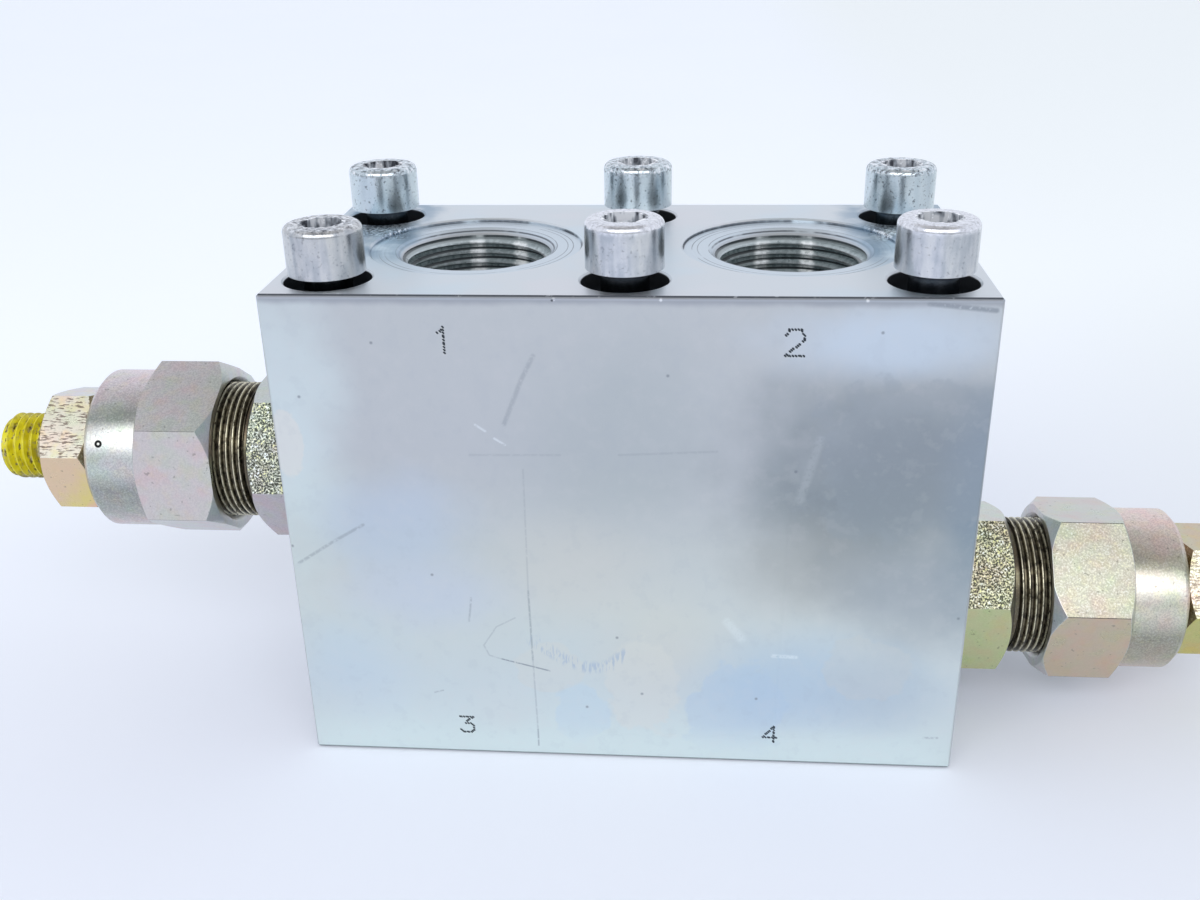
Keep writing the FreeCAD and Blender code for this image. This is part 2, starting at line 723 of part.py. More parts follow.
def build_bonnet(side, turn_angle):
    body = new_body(side + "_bonnet")
    shoulder = size.shoulder_dia / 2
    edge = size.shoulder_edge
    hexagon_prism(body, "hexagon", size.bonnet_hex_af, bonnet_start, size.bonnet_hex_length)
    turn(body, "shoulder", [
        (bonnet_start, ZERO),
        (bonnet_start, shoulder - edge),
        (bonnet_start + edge, shoulder),
        (bonnet_end - edge, shoulder),
        (bonnet_end, shoulder - edge),
        (bonnet_end, ZERO),
    ])
    trim_corners(body, "inner_hexagon_edge", size.bonnet_hex_af, bonnet_start, False,
                 shoulder + size.hex_edge, slope=1)
    trim_corners(body, "outer_hexagon_edge", size.bonnet_hex_af, bonnet_hex_end, True, shoulder)
    neck = size.neck_dia / 2 + size.thread_clearance
    chamber = size.chamber_dia / 2
    tapped = size.adjuster_dia / 2 + size.thread_clearance
    lead = size.thread_lead
    turn(body, "bores", [
        (bonnet_start - OVERCUT, ZERO),
        (bonnet_start - OVERCUT, neck + lead + OVERCUT),
        (bonnet_start + lead, neck),
        (bonnet_seal_out, neck),
        (bonnet_seal_out, chamber),
        (bonnet_chamber_out, chamber),
        (bonnet_chamber_out, tapped),
        (bonnet_end, tapped),
        (bonnet_end + OVERCUT, tapped + OVERCUT),
        (bonnet_end + OVERCUT, ZERO),
    ], cut=True)
    along_axis(body, side, turn_angle)


def build_adjusting_screw(side):
    body = new_body(side + "_adjusting_screw")
    tip = size.adjuster_tip_dia / 2
    thread = size.adjuster_dia / 2
    lead = size.thread_lead
    thread_start = plate_out + size.adjuster_tip_length
    turn(body, "screw", [
        (plate_out, ZERO),
        (plate_out, tip),
        (thread_start, tip),
        (thread_start, thread - lead),
        (thread_start + lead, thread),
        (adjuster_end - lead, thread),
        (adjuster_end, thread - lead),
        (adjuster_end, ZERO),
    ])
    socket = outline(body, "socket_outline", "YZ_Plane", hexagon(size.adjuster_socket_af),
                     {"z": adjuster_end})
    pocket(body, "socket", socket, size.adjuster_socket_depth)
    along_axis(body, side)


def build_lock_washer(side):
    body = new_body(side + "_lock_washer")
    hole = size.adjuster_dia / 2 + size.thread_clearance * 2
    rim = size.lock_washer_dia / 2
    turn(body, "washer", [(bonnet_end, hole), (washer_out, hole), (washer_out, rim), (bonnet_end, rim)])
    along_axis(body, side)


def build_lock_nut(side, turn_angle):
    body = new_body(side + "_lock_nut")
    hexagon_prism(body, "hexagon", size.lock_nut_af, washer_out, size.lock_nut_height)
    land = size.lock_nut_af / 2 - size.hex_edge
    trim_corners(body, "inner_hexagon_edge", size.lock_nut_af, washer_out, False, land)
    trim_corners(body, "outer_hexagon_edge", size.lock_nut_af, nut_out, True, land)
    tapped = size.adjuster_dia / 2 + size.thread_clearance
    lead = size.thread_lead
    turn(body, "bore", [
        (washer_out - OVERCUT, ZERO),
        (washer_out - OVERCUT, tapped + lead + OVERCUT),
        (washer_out + lead, tapped),
        (nut_out - lead, tapped),
        (nut_out + OVERCUT, tapped + lead + OVERCUT),
        (nut_out + OVERCUT, ZERO),
    ], cut=True)
    along_axis(body, side, turn_angle)


def build_relief_valve(side):
    body_turn = getattr(size, side + "_body_turn")
    bonnet_turn = getattr(size, side + "_bonnet_turn")
    nut_turn = getattr(size, side + "_nut_turn")
    build_valve_body(side, body_turn)
    build_valve_seat(side)
    build_poppet(side)
    build_main_spring(side)
    build_spring_plate(side)
    build_seals(side)
    build_bonnet(side, bonnet_turn)
    build_adjusting_screw(side)
    build_lock_washer(side)
    build_lock_nut(side, nut_turn)


def sub_parts():
    """Every object that is a piece of its own: bodies, rings and springs."""
    for item in doc.Objects:
        if item.TypeId in ("PartDesign::Body", "Part::Torus", "Part::Common"):
            yield item


def check_model():
    for item in doc.Objects:
        if "Invalid" in item.State or "Error" in item.State:
            raise RuntimeError(f"{item.Label} did not build: {item.State}")
    for item in sub_parts():
        shape = item.Shape
        if shape.isNull() or not shape.isValid() or len(shape.Solids) != 1:
            raise RuntimeError(f"{item.Label} is not one valid solid")


def export_parts():
    os.makedirs("parts", exist_ok=True)
    for item in sub_parts():
        item.Shape.exportStep(f"parts/{item.Label}.step")


build_block()
for gallery_side in ("left", "right"):
    build_base_seal(gallery_side)
for screw_row, screw_column, screw_x, screw_y in screw_places():
    screw_lift = getattr(size, f"{screw_row}_{screw_column}_lift")
    build_mounting_screw(screw_row, screw_column, screw_x, screw_y, screw_lift)
for valve_side in ("left", "right"):
    build_relief_valve(valve_side)
doc.recompute()
check_model()
export_parts()
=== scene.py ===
import json
import math
from collections import namedtuple

import bmesh
import bpy
from mathutils import Matrix, Vector


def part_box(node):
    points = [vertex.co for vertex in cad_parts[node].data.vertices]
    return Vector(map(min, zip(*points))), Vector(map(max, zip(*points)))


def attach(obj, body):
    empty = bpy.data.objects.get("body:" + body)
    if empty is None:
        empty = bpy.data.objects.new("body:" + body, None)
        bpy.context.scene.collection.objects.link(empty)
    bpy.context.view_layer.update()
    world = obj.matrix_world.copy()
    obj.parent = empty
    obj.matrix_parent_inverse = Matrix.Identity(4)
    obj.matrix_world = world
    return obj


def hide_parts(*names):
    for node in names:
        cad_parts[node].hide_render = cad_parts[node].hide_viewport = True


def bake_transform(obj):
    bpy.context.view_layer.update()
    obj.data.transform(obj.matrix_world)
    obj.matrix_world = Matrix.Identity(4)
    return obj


# Hydraulic valve block: zinc-plated steel block, six loose screws, two relief cartridges.
# Lengths are written in millimetres and go through mm() on their way into Blender.

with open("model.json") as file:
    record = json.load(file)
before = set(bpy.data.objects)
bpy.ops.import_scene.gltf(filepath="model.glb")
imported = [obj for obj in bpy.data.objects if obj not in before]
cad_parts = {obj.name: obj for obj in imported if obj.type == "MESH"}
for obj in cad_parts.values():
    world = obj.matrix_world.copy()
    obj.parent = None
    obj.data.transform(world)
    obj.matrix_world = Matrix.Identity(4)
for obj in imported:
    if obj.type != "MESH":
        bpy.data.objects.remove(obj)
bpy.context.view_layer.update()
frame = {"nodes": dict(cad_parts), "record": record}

# The block and its work ports
BLOCK_HALF_LENGTH = 72.5
BLOCK_HALF_DEPTH = 37.5
BLOCK_HEIGHT = 110.0
PORT_X = 34.6
PORT_WALL = 15.15
PORT_THREAD_ROOT = 16.625
PORT_THREAD_PITCH = 2.309
PORT_THREAD_RUNOUT = 0.9
COUNTERSINK_END = 106.55
TAP_END = 87.2
WIDENED_WALL = 16.8
DRILL_POINT_SLOPE = math.tan(math.radians(30))
OVERLAP = 0.05  # where two surfaces meet unjoined
# The cartridges, from the block's middle outwards
AXIS_HEIGHT = {"left": 59.2, "right": 26.3}
OUTWARDS = {"left": -1, "right": 1}
BODY_HEXAGON_END = 85.0
BODY_APOTHEM = 18.0
NECK_START = 89.5
NECK_THREAD_END = 97.4
NECK_RADIUS = 16.2
NECK_CORE = 15.3
NECK_SLEEVE_WALL = 14.8
BONNET_APOTHEM = 19.0
SHOULDER_START = 114.2
SHOULDER_RADIUS = 19.2
NUT_APOTHEM = 13.5
THREAD_PITCH = 1.5
THREAD_DEPTH = 0.81
THREAD_LEAD = 1.2
ADJUSTER_PITCH = 2.0
ADJUSTER_THREAD_DEPTH = 1.2268
ADJUSTER_START = 103.5
ADJUSTER_THREAD_START = 105.5
ADJUSTER_END = 152.5
ADJUSTER_RADIUS = 8.0
ADJUSTER_TIP_RADIUS = 5.0
ADJUSTER_SOCKET_DEPTH = 9.0
SOCKET_FLATS = 8.0
SOCKET_RIM = 0.5
SPRING_LIVE = (66.0, 90.5)  # between the ground end coils
# The mounting screws
SCREW_THREAD_LENGTH = 32.0
SCREW_RADIUS = 5.0
SCREW_HEAD_HEIGHT = 10.0
SEAT_GAP = 0.02  # under a head that is screwed down
SCREW_SPACING = 61.0
SCREW_ROW = 26.0
ROWS = ("front", "back")
COLUMNS = ("left", "middle", "right")
# The camera: place in metres, direction, roll in degrees, lens in millimetres
CAMERA_PLACE = (0.01551, -0.26741, 0.18266)
CAMERA_AIM = (-0.0799, 0.9063, -0.4150)
CAMERA_ROLL = 1.22
CAMERA_LENS = 37.34


def mm(*lengths):
    scaled = [length / 1000 for length in lengths]
    return scaled[0] if len(scaled) == 1 else Vector(scaled)


# Shader helpers

class Value:
    """A shader socket that Python's operators work on."""

    def __init__(self, finish, socket):
        self.finish = finish
        self.socket = socket

    def __add__(self, other):
        return self.finish.math("ADD", self, other)

    __radd__ = __add__

    def __sub__(self, other):
        return self.finish.math("SUBTRACT", self, other)

    def __rsub__(self, other):
        return self.finish.math("SUBTRACT", other, self)

    def __mul__(self, other):
        return self.finish.math("MULTIPLY", self, other)

    __rmul__ = __mul__

    def __abs__(self):
        return self.finish.math("ABSOLUTE", self)


class Finish:
    """A node tree with short ways to add what the finishes need."""

    def __init__(self, name, tree=None):
        if tree is None:
            self.material = bpy.data.materials.new(name)
            self.material.use_nodes = True
            tree = self.material.node_tree
        self.tree = tree
        self.tree.nodes.clear()
        self.cached = {}

    def node(self, kind, settings=None, inputs=None, output=0):
        node = self.tree.nodes.new(kind)
        for name, setting in (settings or {}).items():
            if name == "stops":
                self.set_stops(node.color_ramp, setting)
            else:
                setattr(node, name, setting)
        for name, value in (inputs or {}).items():
            self.feed(self.pick(node.inputs, name), value)
        return Value(self, self.pick(node.outputs, output)) if len(node.outputs) else None

    @staticmethod
    def set_stops(ramp, stops):
        while len(ramp.elements) < len(stops):
            ramp.elements.new(1.0)
        for element, (position, colour) in zip(ramp.elements, stops):
            element.position = position
            element.color = (*colour, 1.0)

    @staticmethod
    def pick(sockets, name):
        if isinstance(name, int):
            return sockets[name]
        return next((socket for socket in sockets if socket.identifier == name), None) or sockets[name]

    def feed(self, socket, value):
        if isinstance(value, Value):
            self.tree.links.new(value.socket, socket)
        elif isinstance(value, tuple) and len(value) == 3 and socket.type == "RGBA":
            socket.default_value = (*value, 1.0)
        else:
            socket.default_value = value

    def math(self, operation, first, second=0.0, clamp=False):
        settings = {"operation": operation, "use_clamp": clamp}
        return self.node("ShaderNodeMath", settings, {0: first, 1: second})

    def vector(self, operation, first, second=(0.0, 0.0, 0.0), output=0, third=(0.0, 0.0, 0.0)):
        inputs = {0: first, 1: second, 2: third}
        return self.node("ShaderNodeVectorMath", {"operation": operation}, inputs, output)

    def place(self):
        """Object coordinates, in metres."""
        if "place" not in self.cached:
            self.cached["place"] = self.node("ShaderNodeTexCoord", output="Object")
        return self.cached["place"]

    def in_mm(self, scale=(1000.0, 1000.0, 1000.0)):
        """Object coordinates as one vector, in millimetres."""
        if scale not in self.cached:
            self.cached[scale] = self.vector("MULTIPLY", self.place(), scale)
        return self.cached[scale]

    def front_place(self):
        """Place on the front face (x, 0, z), in millimetres."""
        return self.in_mm((1000.0, 0.0, 1000.0))

    def parts(self, vector):
        sockets = self.node("ShaderNodeSeparateXYZ", None, {0: vector}).socket.node.outputs
        return tuple(Value(self, sockets[index]) for index in range(3))

    def axes(self):
        """Object coordinates one by one, in millimetres."""
        return self.parts(self.in_mm())

    def radius(self, first, second):
        """Distance from an axis, from the two offsets across it."""
        return self.math("SQRT", first * first + second * second)

    def attribute(self, name, output="Fac"):
        return self.node("ShaderNodeAttribute", {"attribute_name": name}, output=output)

    def noise(self, size, detail=2.0, roughness=0.5, stretch=(1.0, 1.0, 1.0), shift=0.0):
        """Noise whose features are about size millimetres across."""
        scaled = self.vector("MULTIPLY", self.place(), tuple(1000.0 / size / part for part in stretch))
        moved = self.vector("ADD", scaled, (shift, shift * 1.7, shift * 0.6))
        return self.node("ShaderNodeTexNoise", None, {
            "Vector": moved, "Scale": 1.0, "Detail": detail, "Roughness": roughness}, "Fac")

    def rise(self, value, low, high, full=1.0):
        """0 below low, full above high, smooth between; low may be the larger."""
        return self.node("ShaderNodeMapRange", {"interpolation_type": "SMOOTHSTEP"},
                         {"Value": value, "From Min": low, "From Max": high, "To Max": full})

    def ramp(self, value, stops):
        return self.node("ShaderNodeValToRGB", {"stops": stops}, {0: value}, "Color")

    def mix(self, first, second, factor, blend="MIX"):
        return self.node("ShaderNodeMix", {"data_type": "RGBA", "blend_type": blend},
                         {"Factor_Float": factor, "A_Color": first, "B_Color": second}, "Result_Color")

    def coats(self, colour, *layers):
        """Lays shades over a colour in turn, each given as its colour and its mask."""
        for shade, mask in layers:
            colour = self.mix(colour, shade, mask)
        return colour

    def bump(self, height, distance, strength):
        inputs = {"Height": height, "Distance": distance, "Strength": strength}
        return self.node("ShaderNodeBump", None, inputs)

    def surface(self, colour, roughness, **sockets):
        """Ends the tree in one Principled surface; socket names have underscores for spaces."""
        inputs = {name.replace("_", " "): value for name, value in sockets.items()}
        inputs.update({"Base Color": colour, "Roughness": roughness})
        shader = self.node("ShaderNodeBsdfPrincipled", None, inputs)
        self.node("ShaderNodeOutputMaterial", None, {"Surface": shader})
        return self.material


def port_radius(f, x, y):
    """Distance from the nearer work port's axis."""
    return f.radius(abs(x) - PORT_X, y)


def screw_radius(f, x, y):
    """Distance from the nearest mounting screw's axis."""
    nearest = f.math("MINIMUM", abs(x), abs(abs(x) - SCREW_SPACING))
    return f.radius(nearest, abs(y) - SCREW_ROW)


def spot(f, middle, radius, strength):
    """Mask of a round spot on the front face, middle (x, z) and radius in millimetres."""
    distance = f.vector("DISTANCE", f.front_place(), (middle[0], 0.0, middle[1]), "Value")
    return f.rise(distance, radius, radius * 0.2, strength)


def scratch(f, start, end, width, strength):
    """Mask of a straight scratch on the front face, from start to end (x, z), in millimetres."""
    run, rise = end[0] - start[0], end[1] - start[1]
    squared = run * run + rise * rise
    off = f.vector("SUBTRACT", f.front_place(), (start[0], 0.0, start[1]))
    along = f.vector("DOT_PRODUCT", off, (run / squared, 0.0, rise / squared), "Value")
    along = f.math("ADD", along, 0.0, clamp=True)
    nearest = f.node("ShaderNodeVectorMath", {"operation": "SCALE"}, {0: (run, 0.0, rise), "Scale": along})
    return f.rise(f.vector("DISTANCE", off, nearest, "Value"), width, width * 0.2, strength)


def largest(f, masks):
    merged = masks[0]
    for mask in masks[1:]:
        merged = f.math("MAXIMUM", merged, mask)
    return merged


def scratches(f, lines):
    """One mask of several scratches, each a chain of points, a half width and a strength."""
    return largest(f, [scratch(f, start, end, width, strength)
                       for points, width, strength in lines for start, end in zip(points, points[1:])])


def stain_and_reflection_patch(f, middle, reach, ragged, strength, border=(1.45, 0.25)):
    """Mask of an oval patch on the front face, used for the stains, the films and the painted reflections;
    ragged is a value that frays its border.
    """
    narrow = (1.0 / reach[0], 0.0, 1.0 / reach[1])
    shift = (-middle[0] / reach[0], 0.0, -middle[1] / reach[1])
    off = f.vector("MULTIPLY_ADD", f.front_place(), narrow, third=shift)
    return f.rise(f.vector("LENGTH", off, output="Value") + ragged, *border, strength)


# Finishes

# Stains of the front face: middle (x, z) and reach (across, up) in millimetres, colour, strength. The dark
# ones right of the middle, at (54, 70), (62, 44) and (72, 66), are a painted reflection of something dark
# in front of the block.
STAINS_AND_REFLECTIONS = [
    ((-70, 78), (13, 34), (0.68, 0.76, 0.76), 0.85),
    ((-50, 58), (17, 12), (0.54, 0.61, 0.72), 0.70),
    ((-44, 42), (20, 9), (0.58, 0.62, 0.72), 0.70),
    ((-62, 24), (14, 14), (0.58, 0.67, 0.74), 0.60),
    ((-28, 14), (8, 10), (0.66, 0.70, 0.69), 0.50),
    ((0, 80), (22, 20), (0.47, 0.51, 0.515), 0.66),
    ((-10, 48), (17, 12), (0.66, 0.64, 0.61), 0.50),
    ((8, 31), (14, 15), (0.66, 0.66, 0.63), 0.90),
    ((54, 70), (32, 25), (0.27, 0.305, 0.325), 0.97),
    ((38, 50), (16, 12), (0.44, 0.44, 0.43), 0.50),
    ((62, 44), (18, 14), (0.38, 0.41, 0.45), 0.75),
    ((72, 66), (8, 26), (0.28, 0.34, 0.40), 0.85),
    ((38, 22), (24, 13), (0.51, 0.61, 0.70), 0.85),
    ((56, 20), (14, 10), (0.50, 0.57, 0.62), 0.60),
    ((54, 102), (24, 8), (0.62, 0.70, 0.78), 0.85),
]
# Thin films with a crisp border, written the same way
FILMS = [
    ((4, 20), (9, 14), (0.72, 0.71, 0.66), 0.45),
    ((25, 17), (12, 14), (0.50, 0.61, 0.72), 0.45),
    ((-10, 11), (7, 8), (0.56, 0.68, 0.76), 0.45),
    ((-18, 24), (8, 6), (0.70, 0.68, 0.63), 0.35),
    ((-70, 77), (3, 8), (0.80, 0.76, 0.70), 0.50),
    ((57, 74), (21, 17), (0.34, 0.38, 0.42), 0.35),
    ((52, 26), (9, 8), (0.62, 0.62, 0.60), 0.35),
]
# Scratches of the front face: points (x, z), half width in millimetres, strength
DARK_MARKS = [
    ([(-20.8, 72.6), (-21.0, 43.6)], 0.30, 0.22),
    ([(-21.0, 43.6), (-20.7, 25.9)], 0.34, 0.50),
    ([(-20.7, 25.9), (-20.3, 7.0)], 0.30, 0.30),
    ([(-20.3, 7.0), (-20.3, 2.6)], 0.30, 0.60),
    ([(-70.9, 49.3), (-63.0, 54.6), (-55.8, 59.0)], 0.55, 0.42),
    ([(-17.7, 97.6), (-20.3, 92.5), (-24.2, 82.9)], 0.75, 0.34),
    ([(-27.6, 25.9), (-17.0, 23.1)], 0.26, 0.85),
    ([(-33.6, 41.5), (-34.4, 35.6)], 0.36, 0.40),
    ([(-24.2, 36.7), (-28.4, 34.3), (-31.5, 29.4), (-30.4, 26.8), (-27.6, 25.9)], 0.28, 0.30),
    ([(-41.5, 17.0), (-43.5, 16.4)], 0.30, 0.40),
    ([(-31.7, 75.8), (-13.0, 76.1)], 0.40, 0.20),
    ([(-0.9, 76.3), (19.0, 77.4)], 0.40, 0.22),
    ([(66.0, 8.2), (69.0, 8.3)], 0.45, 0.40),
    ([(58.5, 108.9), (64.9, 108.2), (71.0, 107.6)], 0.80, 0.70),
    ([(32.0, 28.6), (33.0, 28.6)], 0.30, 0.20),
]
PALE_MARKS = [
    ([(-30.2, 82.6), (-28.2, 81.2)], 0.40, 0.45),
    ([(-26.4, 79.6), (-24.3, 78.2)], 0.40, 0.50),
    ([(32.0, 28.7), (37.0, 28.5)], 0.70, 0.45),
    ([(39.5, 80.3), (36.1, 66.8)], 1.40, 0.10),
    ([(22.0, 37.0), (25.0, 33.0)], 1.60, 0.25),
]
RUBBED_BAND = [([(-20.2, 30.9), (-14.0, 26.4), (-8.5, 24.2), (-4.0, 24.8), (-0.5, 28.0)], 2.1, 1.0)]
# Middles (x, z) of dark specks, and of bright nicks in the top edge, which are bare metal with a painted
# glint; the core below is the middle of a painted shadow inside one nick
SPECKS = [
    (35.0, 73.2), (9.0, 93.7), (50.2, 103.0), (-50.1, 100.1), (-66.2, 88.3), (-1.9, 32.3), (3.5, 17.7),
    (28.8, 17.3), (-41.8, 47.1), (-8.9, 13.7), (70.6, 39.4), (-71.9, 53.5),
]
NICKS = [(-13.2, 109.3), (7.6, 109.3), (46.9, 109.4)]
NICK_SHADOW = (-13.5, 109.1)
# Turned lines round the work ports: radius and half width in millimetres, strength
SEALING_RINGS = [
    (23.35, 0.28, 0.9), (21.5, 0.15, 0.7), (20.3, 0.14, 0.6), (17.9, 0.16, 0.7), (17.2, 0.22, 0.85),
]
# Middle of a small punched ring on the left bonnet's shoulder
PUNCHED_RING = (-122.2, -16.95, 67.56)


def zinc_block_finish():
    """Bluish zinc plating over milled faces, with the stains and wear of the front face, and painted light
    on it: a painted reflection that makes the front lighter towards the foot and dark right of the middle,
    and painted shade in the dents, along the foot, under the top edge and in the counterbores.
    """
    f = Finish("zinc_block")
    x, y, z = f.axes()
    front = f.rise(y, -37.0, -37.4)
    clouds = f.noise(34, 3, 0.5, shift=3.1)
    wisps = f.noise(9, 3, 0.55, shift=6.2)
    fine = f.noise(0.5, 3, 0.6)
    ragged = (clouds - 0.5) * 1.1 + (wisps - 0.5) * 0.5
    plain = f.ramp(clouds, [
        (0.36, (0.50, 0.56, 0.61)), (0.50, (0.54, 0.57, 0.60)), (0.64, (0.57, 0.58, 0.59))])
    # Painted reflection of the pale floor: the front face is lighter towards the foot and duller towards
    # the top.
    reflection_heights = (z + (clouds - 0.5) * 16.0 + (wisps - 0.5) * 6.0) * (1.0 / BLOCK_HEIGHT)
    face = f.ramp(reflection_heights, [
        (0.02, (0.66, 0.75, 0.735)), (0.15, (0.64, 0.70, 0.70)), (0.38, (0.63, 0.65, 0.65)),
        (0.62, (0.55, 0.57, 0.585)), (1.0, (0.56, 0.58, 0.585))])
    for middle, reach, shade, strength in STAINS_AND_REFLECTIONS:
        face = f.mix(face, shade, stain_and_reflection_patch(f, middle, reach, ragged, strength))
    jagged = (clouds - 0.5) * 1.2 + (f.noise(9, 4, 0.6, shift=21.0) - 0.5) * 1.4
    for middle, reach, shade, strength in FILMS:
        face = f.mix(face, shade, stain_and_reflection_patch(f, middle, reach, jagged, strength, (1.06, 0.90)))
    mottle = f.noise(3.5, 3, 0.6, shift=1.4)
    grit = f.rise(f.noise(0.6, 2, 0.5), 0.24, 0.52)
    dark_marks = scratches(f, DARK_MARKS) * grit
    hatching = f.rise(f.noise(0.55, 2, 0.5, stretch=(1.0, 1.0, 5.0), shift=2.2), 0.47, 0.60)
    specks = largest(f, [spot(f, middle, 0.5, 0.65) for middle in SPECKS])
    face = f.coats(
        face,
        # Painted reflection: a lighter band along the foot.
        ((0.66, 0.755, 0.74), f.rise(z + (wisps - 0.5) * 4.0, 11.0, 3.0) * 0.85),
        ((0.70, 0.68, 0.68), f.rise(mottle, 0.52, 0.68, 0.08)),
        ((0.40, 0.44, 0.50), f.rise(mottle, 0.46, 0.32, 0.08)),
        ((0.27, 0.30, 0.34), dark_marks),
        ((0.86, 0.90, 0.92), scratches(f, PALE_MARKS) * grit),
        ((0.38, 0.47, 0.60), scratches(f, RUBBED_BAND) * hatching * 0.55),
        ((0.20, 0.22, 0.25), specks))
    # Painted reflection: lighter towards the foot, then brightened all over.
    reflection_levels = f.ramp(z * (1.0 / BLOCK_HEIGHT), [
        (0.03, (1.0, 0.974, 0.965)), (0.18, (0.945, 0.96, 0.958)), (0.34, (0.952, 0.982, 0.934)),
        (0.50, (0.912, 0.930, 0.886)), (0.70, (0.877, 0.877, 0.877))])
    face = f.vector("MULTIPLY", f.mix(face, reflection_levels, 1.0, "MULTIPLY"), (1.14, 1.14, 1.14))
    # Painted shade: a darker band just under the top edge of the front face.
    under_edge_shade = f.rise(z + (wisps - 0.5) * 1.5, 107.6, 109.2)
    face = f.mix(face, (0.34, 0.36, 0.40), under_edge_shade * 0.75)
    # The punched dents are darkened: dark burnish, and painted shade in them.
    dent_burnish_and_shade = f.rise(y, -37.498, -37.46) * front * f.rise(abs(x), 71.8, 71.4)
    dent_burnish_and_shade = dent_burnish_and_shade * f.rise(z, 0.8, 1.2) * f.rise(z, 109.0, 108.6)
    # Painted contact shadow: a dark line along the foot of the front face.
    foot_shadow = f.rise(z, 0.75, 0.45) * f.rise(y, -36.6, -37.0)
    top = f.rise(z, 109.0, 109.6)
    tinge = f.noise(28, 2, 0.5, shift=17.0)
    broken = f.rise(f.noise(2.2, 3, 0.7, shift=8.8), 0.30, 0.42)
    top_edge = f.rise(y, -36.9, -37.0)
    # Bright nicks: bare metal with a painted glint, and a painted shadow in one of them.
    nicks_and_glints = largest(f, [spot(f, middle, 0.5, 0.8) for middle in NICKS]) * f.rise(y, -36.0, -36.6)
    radius = port_radius(f, x, y)
    over_ports = f.rise(z, 108.0, 108.6)
    sealing = over_ports * f.rise(radius, 23.6, 23.4)
    outwards = abs(x) + (wisps - 0.5) * 8.0
    smear = f.rise(outwards, 46.0, 53.0) * f.rise(y, -15.0, -3.0) * over_ports
    spatter = f.noise(0.7, 2, 0.6, shift=15.0)
    spattered = f.rise(outwards, 51.0, 56.0) * f.rise(outwards, 69.0, 62.0) * over_ports
    spattered = spattered * f.rise(y, 4.0, 10.0) * f.rise(y, 25.0, 19.0)
    colour = f.coats(
        plain,
        (face, front),
        ((0.045, 0.055, 0.065), dent_burnish_and_shade),
        ((0.07, 0.11, 0.13), foot_shadow * 0.85),
        ((0.73, 0.765, 0.785), top * 0.85),
        ((0.62, 0.76, 0.84), top * f.rise(tinge, 0.50, 0.66, 0.35)),
        ((0.78, 0.74, 0.76), top * f.rise(tinge, 0.46, 0.32, 0.30)),
        ((0.36, 0.38, 0.42), f.rise(z, 109.0, 109.5) * top_edge * 0.8),
        ((0.09, 0.10, 0.12), f.rise(z, 109.66, 109.76) * top_edge * broken * 0.9),
        ((0.92, 0.93, 0.94), nicks_and_glints * f.rise(fine, 0.35, 0.5)),
        ((0.10, 0.11, 0.12), spot(f, NICK_SHADOW, 0.4, 1.0) * front),
        ((0.66, 0.73, 0.78), sealing * 0.85),
        ((0.27, 0.38, 0.48), smear * f.rise(wisps, 0.25, 0.6, 0.85)),
        ((0.05, 0.055, 0.065), f.rise(spatter, 0.50, 0.56) * spattered * 0.85),
        ((0.88, 0.92, 0.94), f.rise(spatter, 0.44, 0.38) * spattered * 0.8))
    unbroken = f.rise(wisps, 0.36, 0.50) * (1.0 - smear * 0.8) * over_ports
    for ring, width, strength in SEALING_RINGS:
        line = f.rise(abs(radius - ring), width, width * 0.3)
        colour = f.mix(colour, (0.09, 0.10, 0.12), line * unbroken * strength)
    # Painted shade in the counterbores: darkest near the top under the screw heads, lighter deeper down.
    hole_shade = f.rise(screw_radius(f, x, y), 9.35, 9.15) * f.rise(z, 109.75, 109.2)
    hole_shade_by_depth = f.mix((0.24, 0.28, 0.32), (0.05, 0.055, 0.065), f.rise(z, 103.5, 107.0))
    colour = f.mix(colour, hole_shade_by_depth, hole_shade * 0.88)
    tool_lines = f.math("SINE", radius * 7.0) * sealing * f.rise(radius, 17.5, 17.7)
    rough = 0.30 + fine * 0.08 + clouds * 0.06 + dark_marks * 0.1 + hole_shade * 0.15
    height = fine * 0.3 + tool_lines * 0.7 - dark_marks * front * 0.8
    return f.surface(colour, rough, Metallic=1.0, Normal=f.bump(height, 0.00003, 0.35))


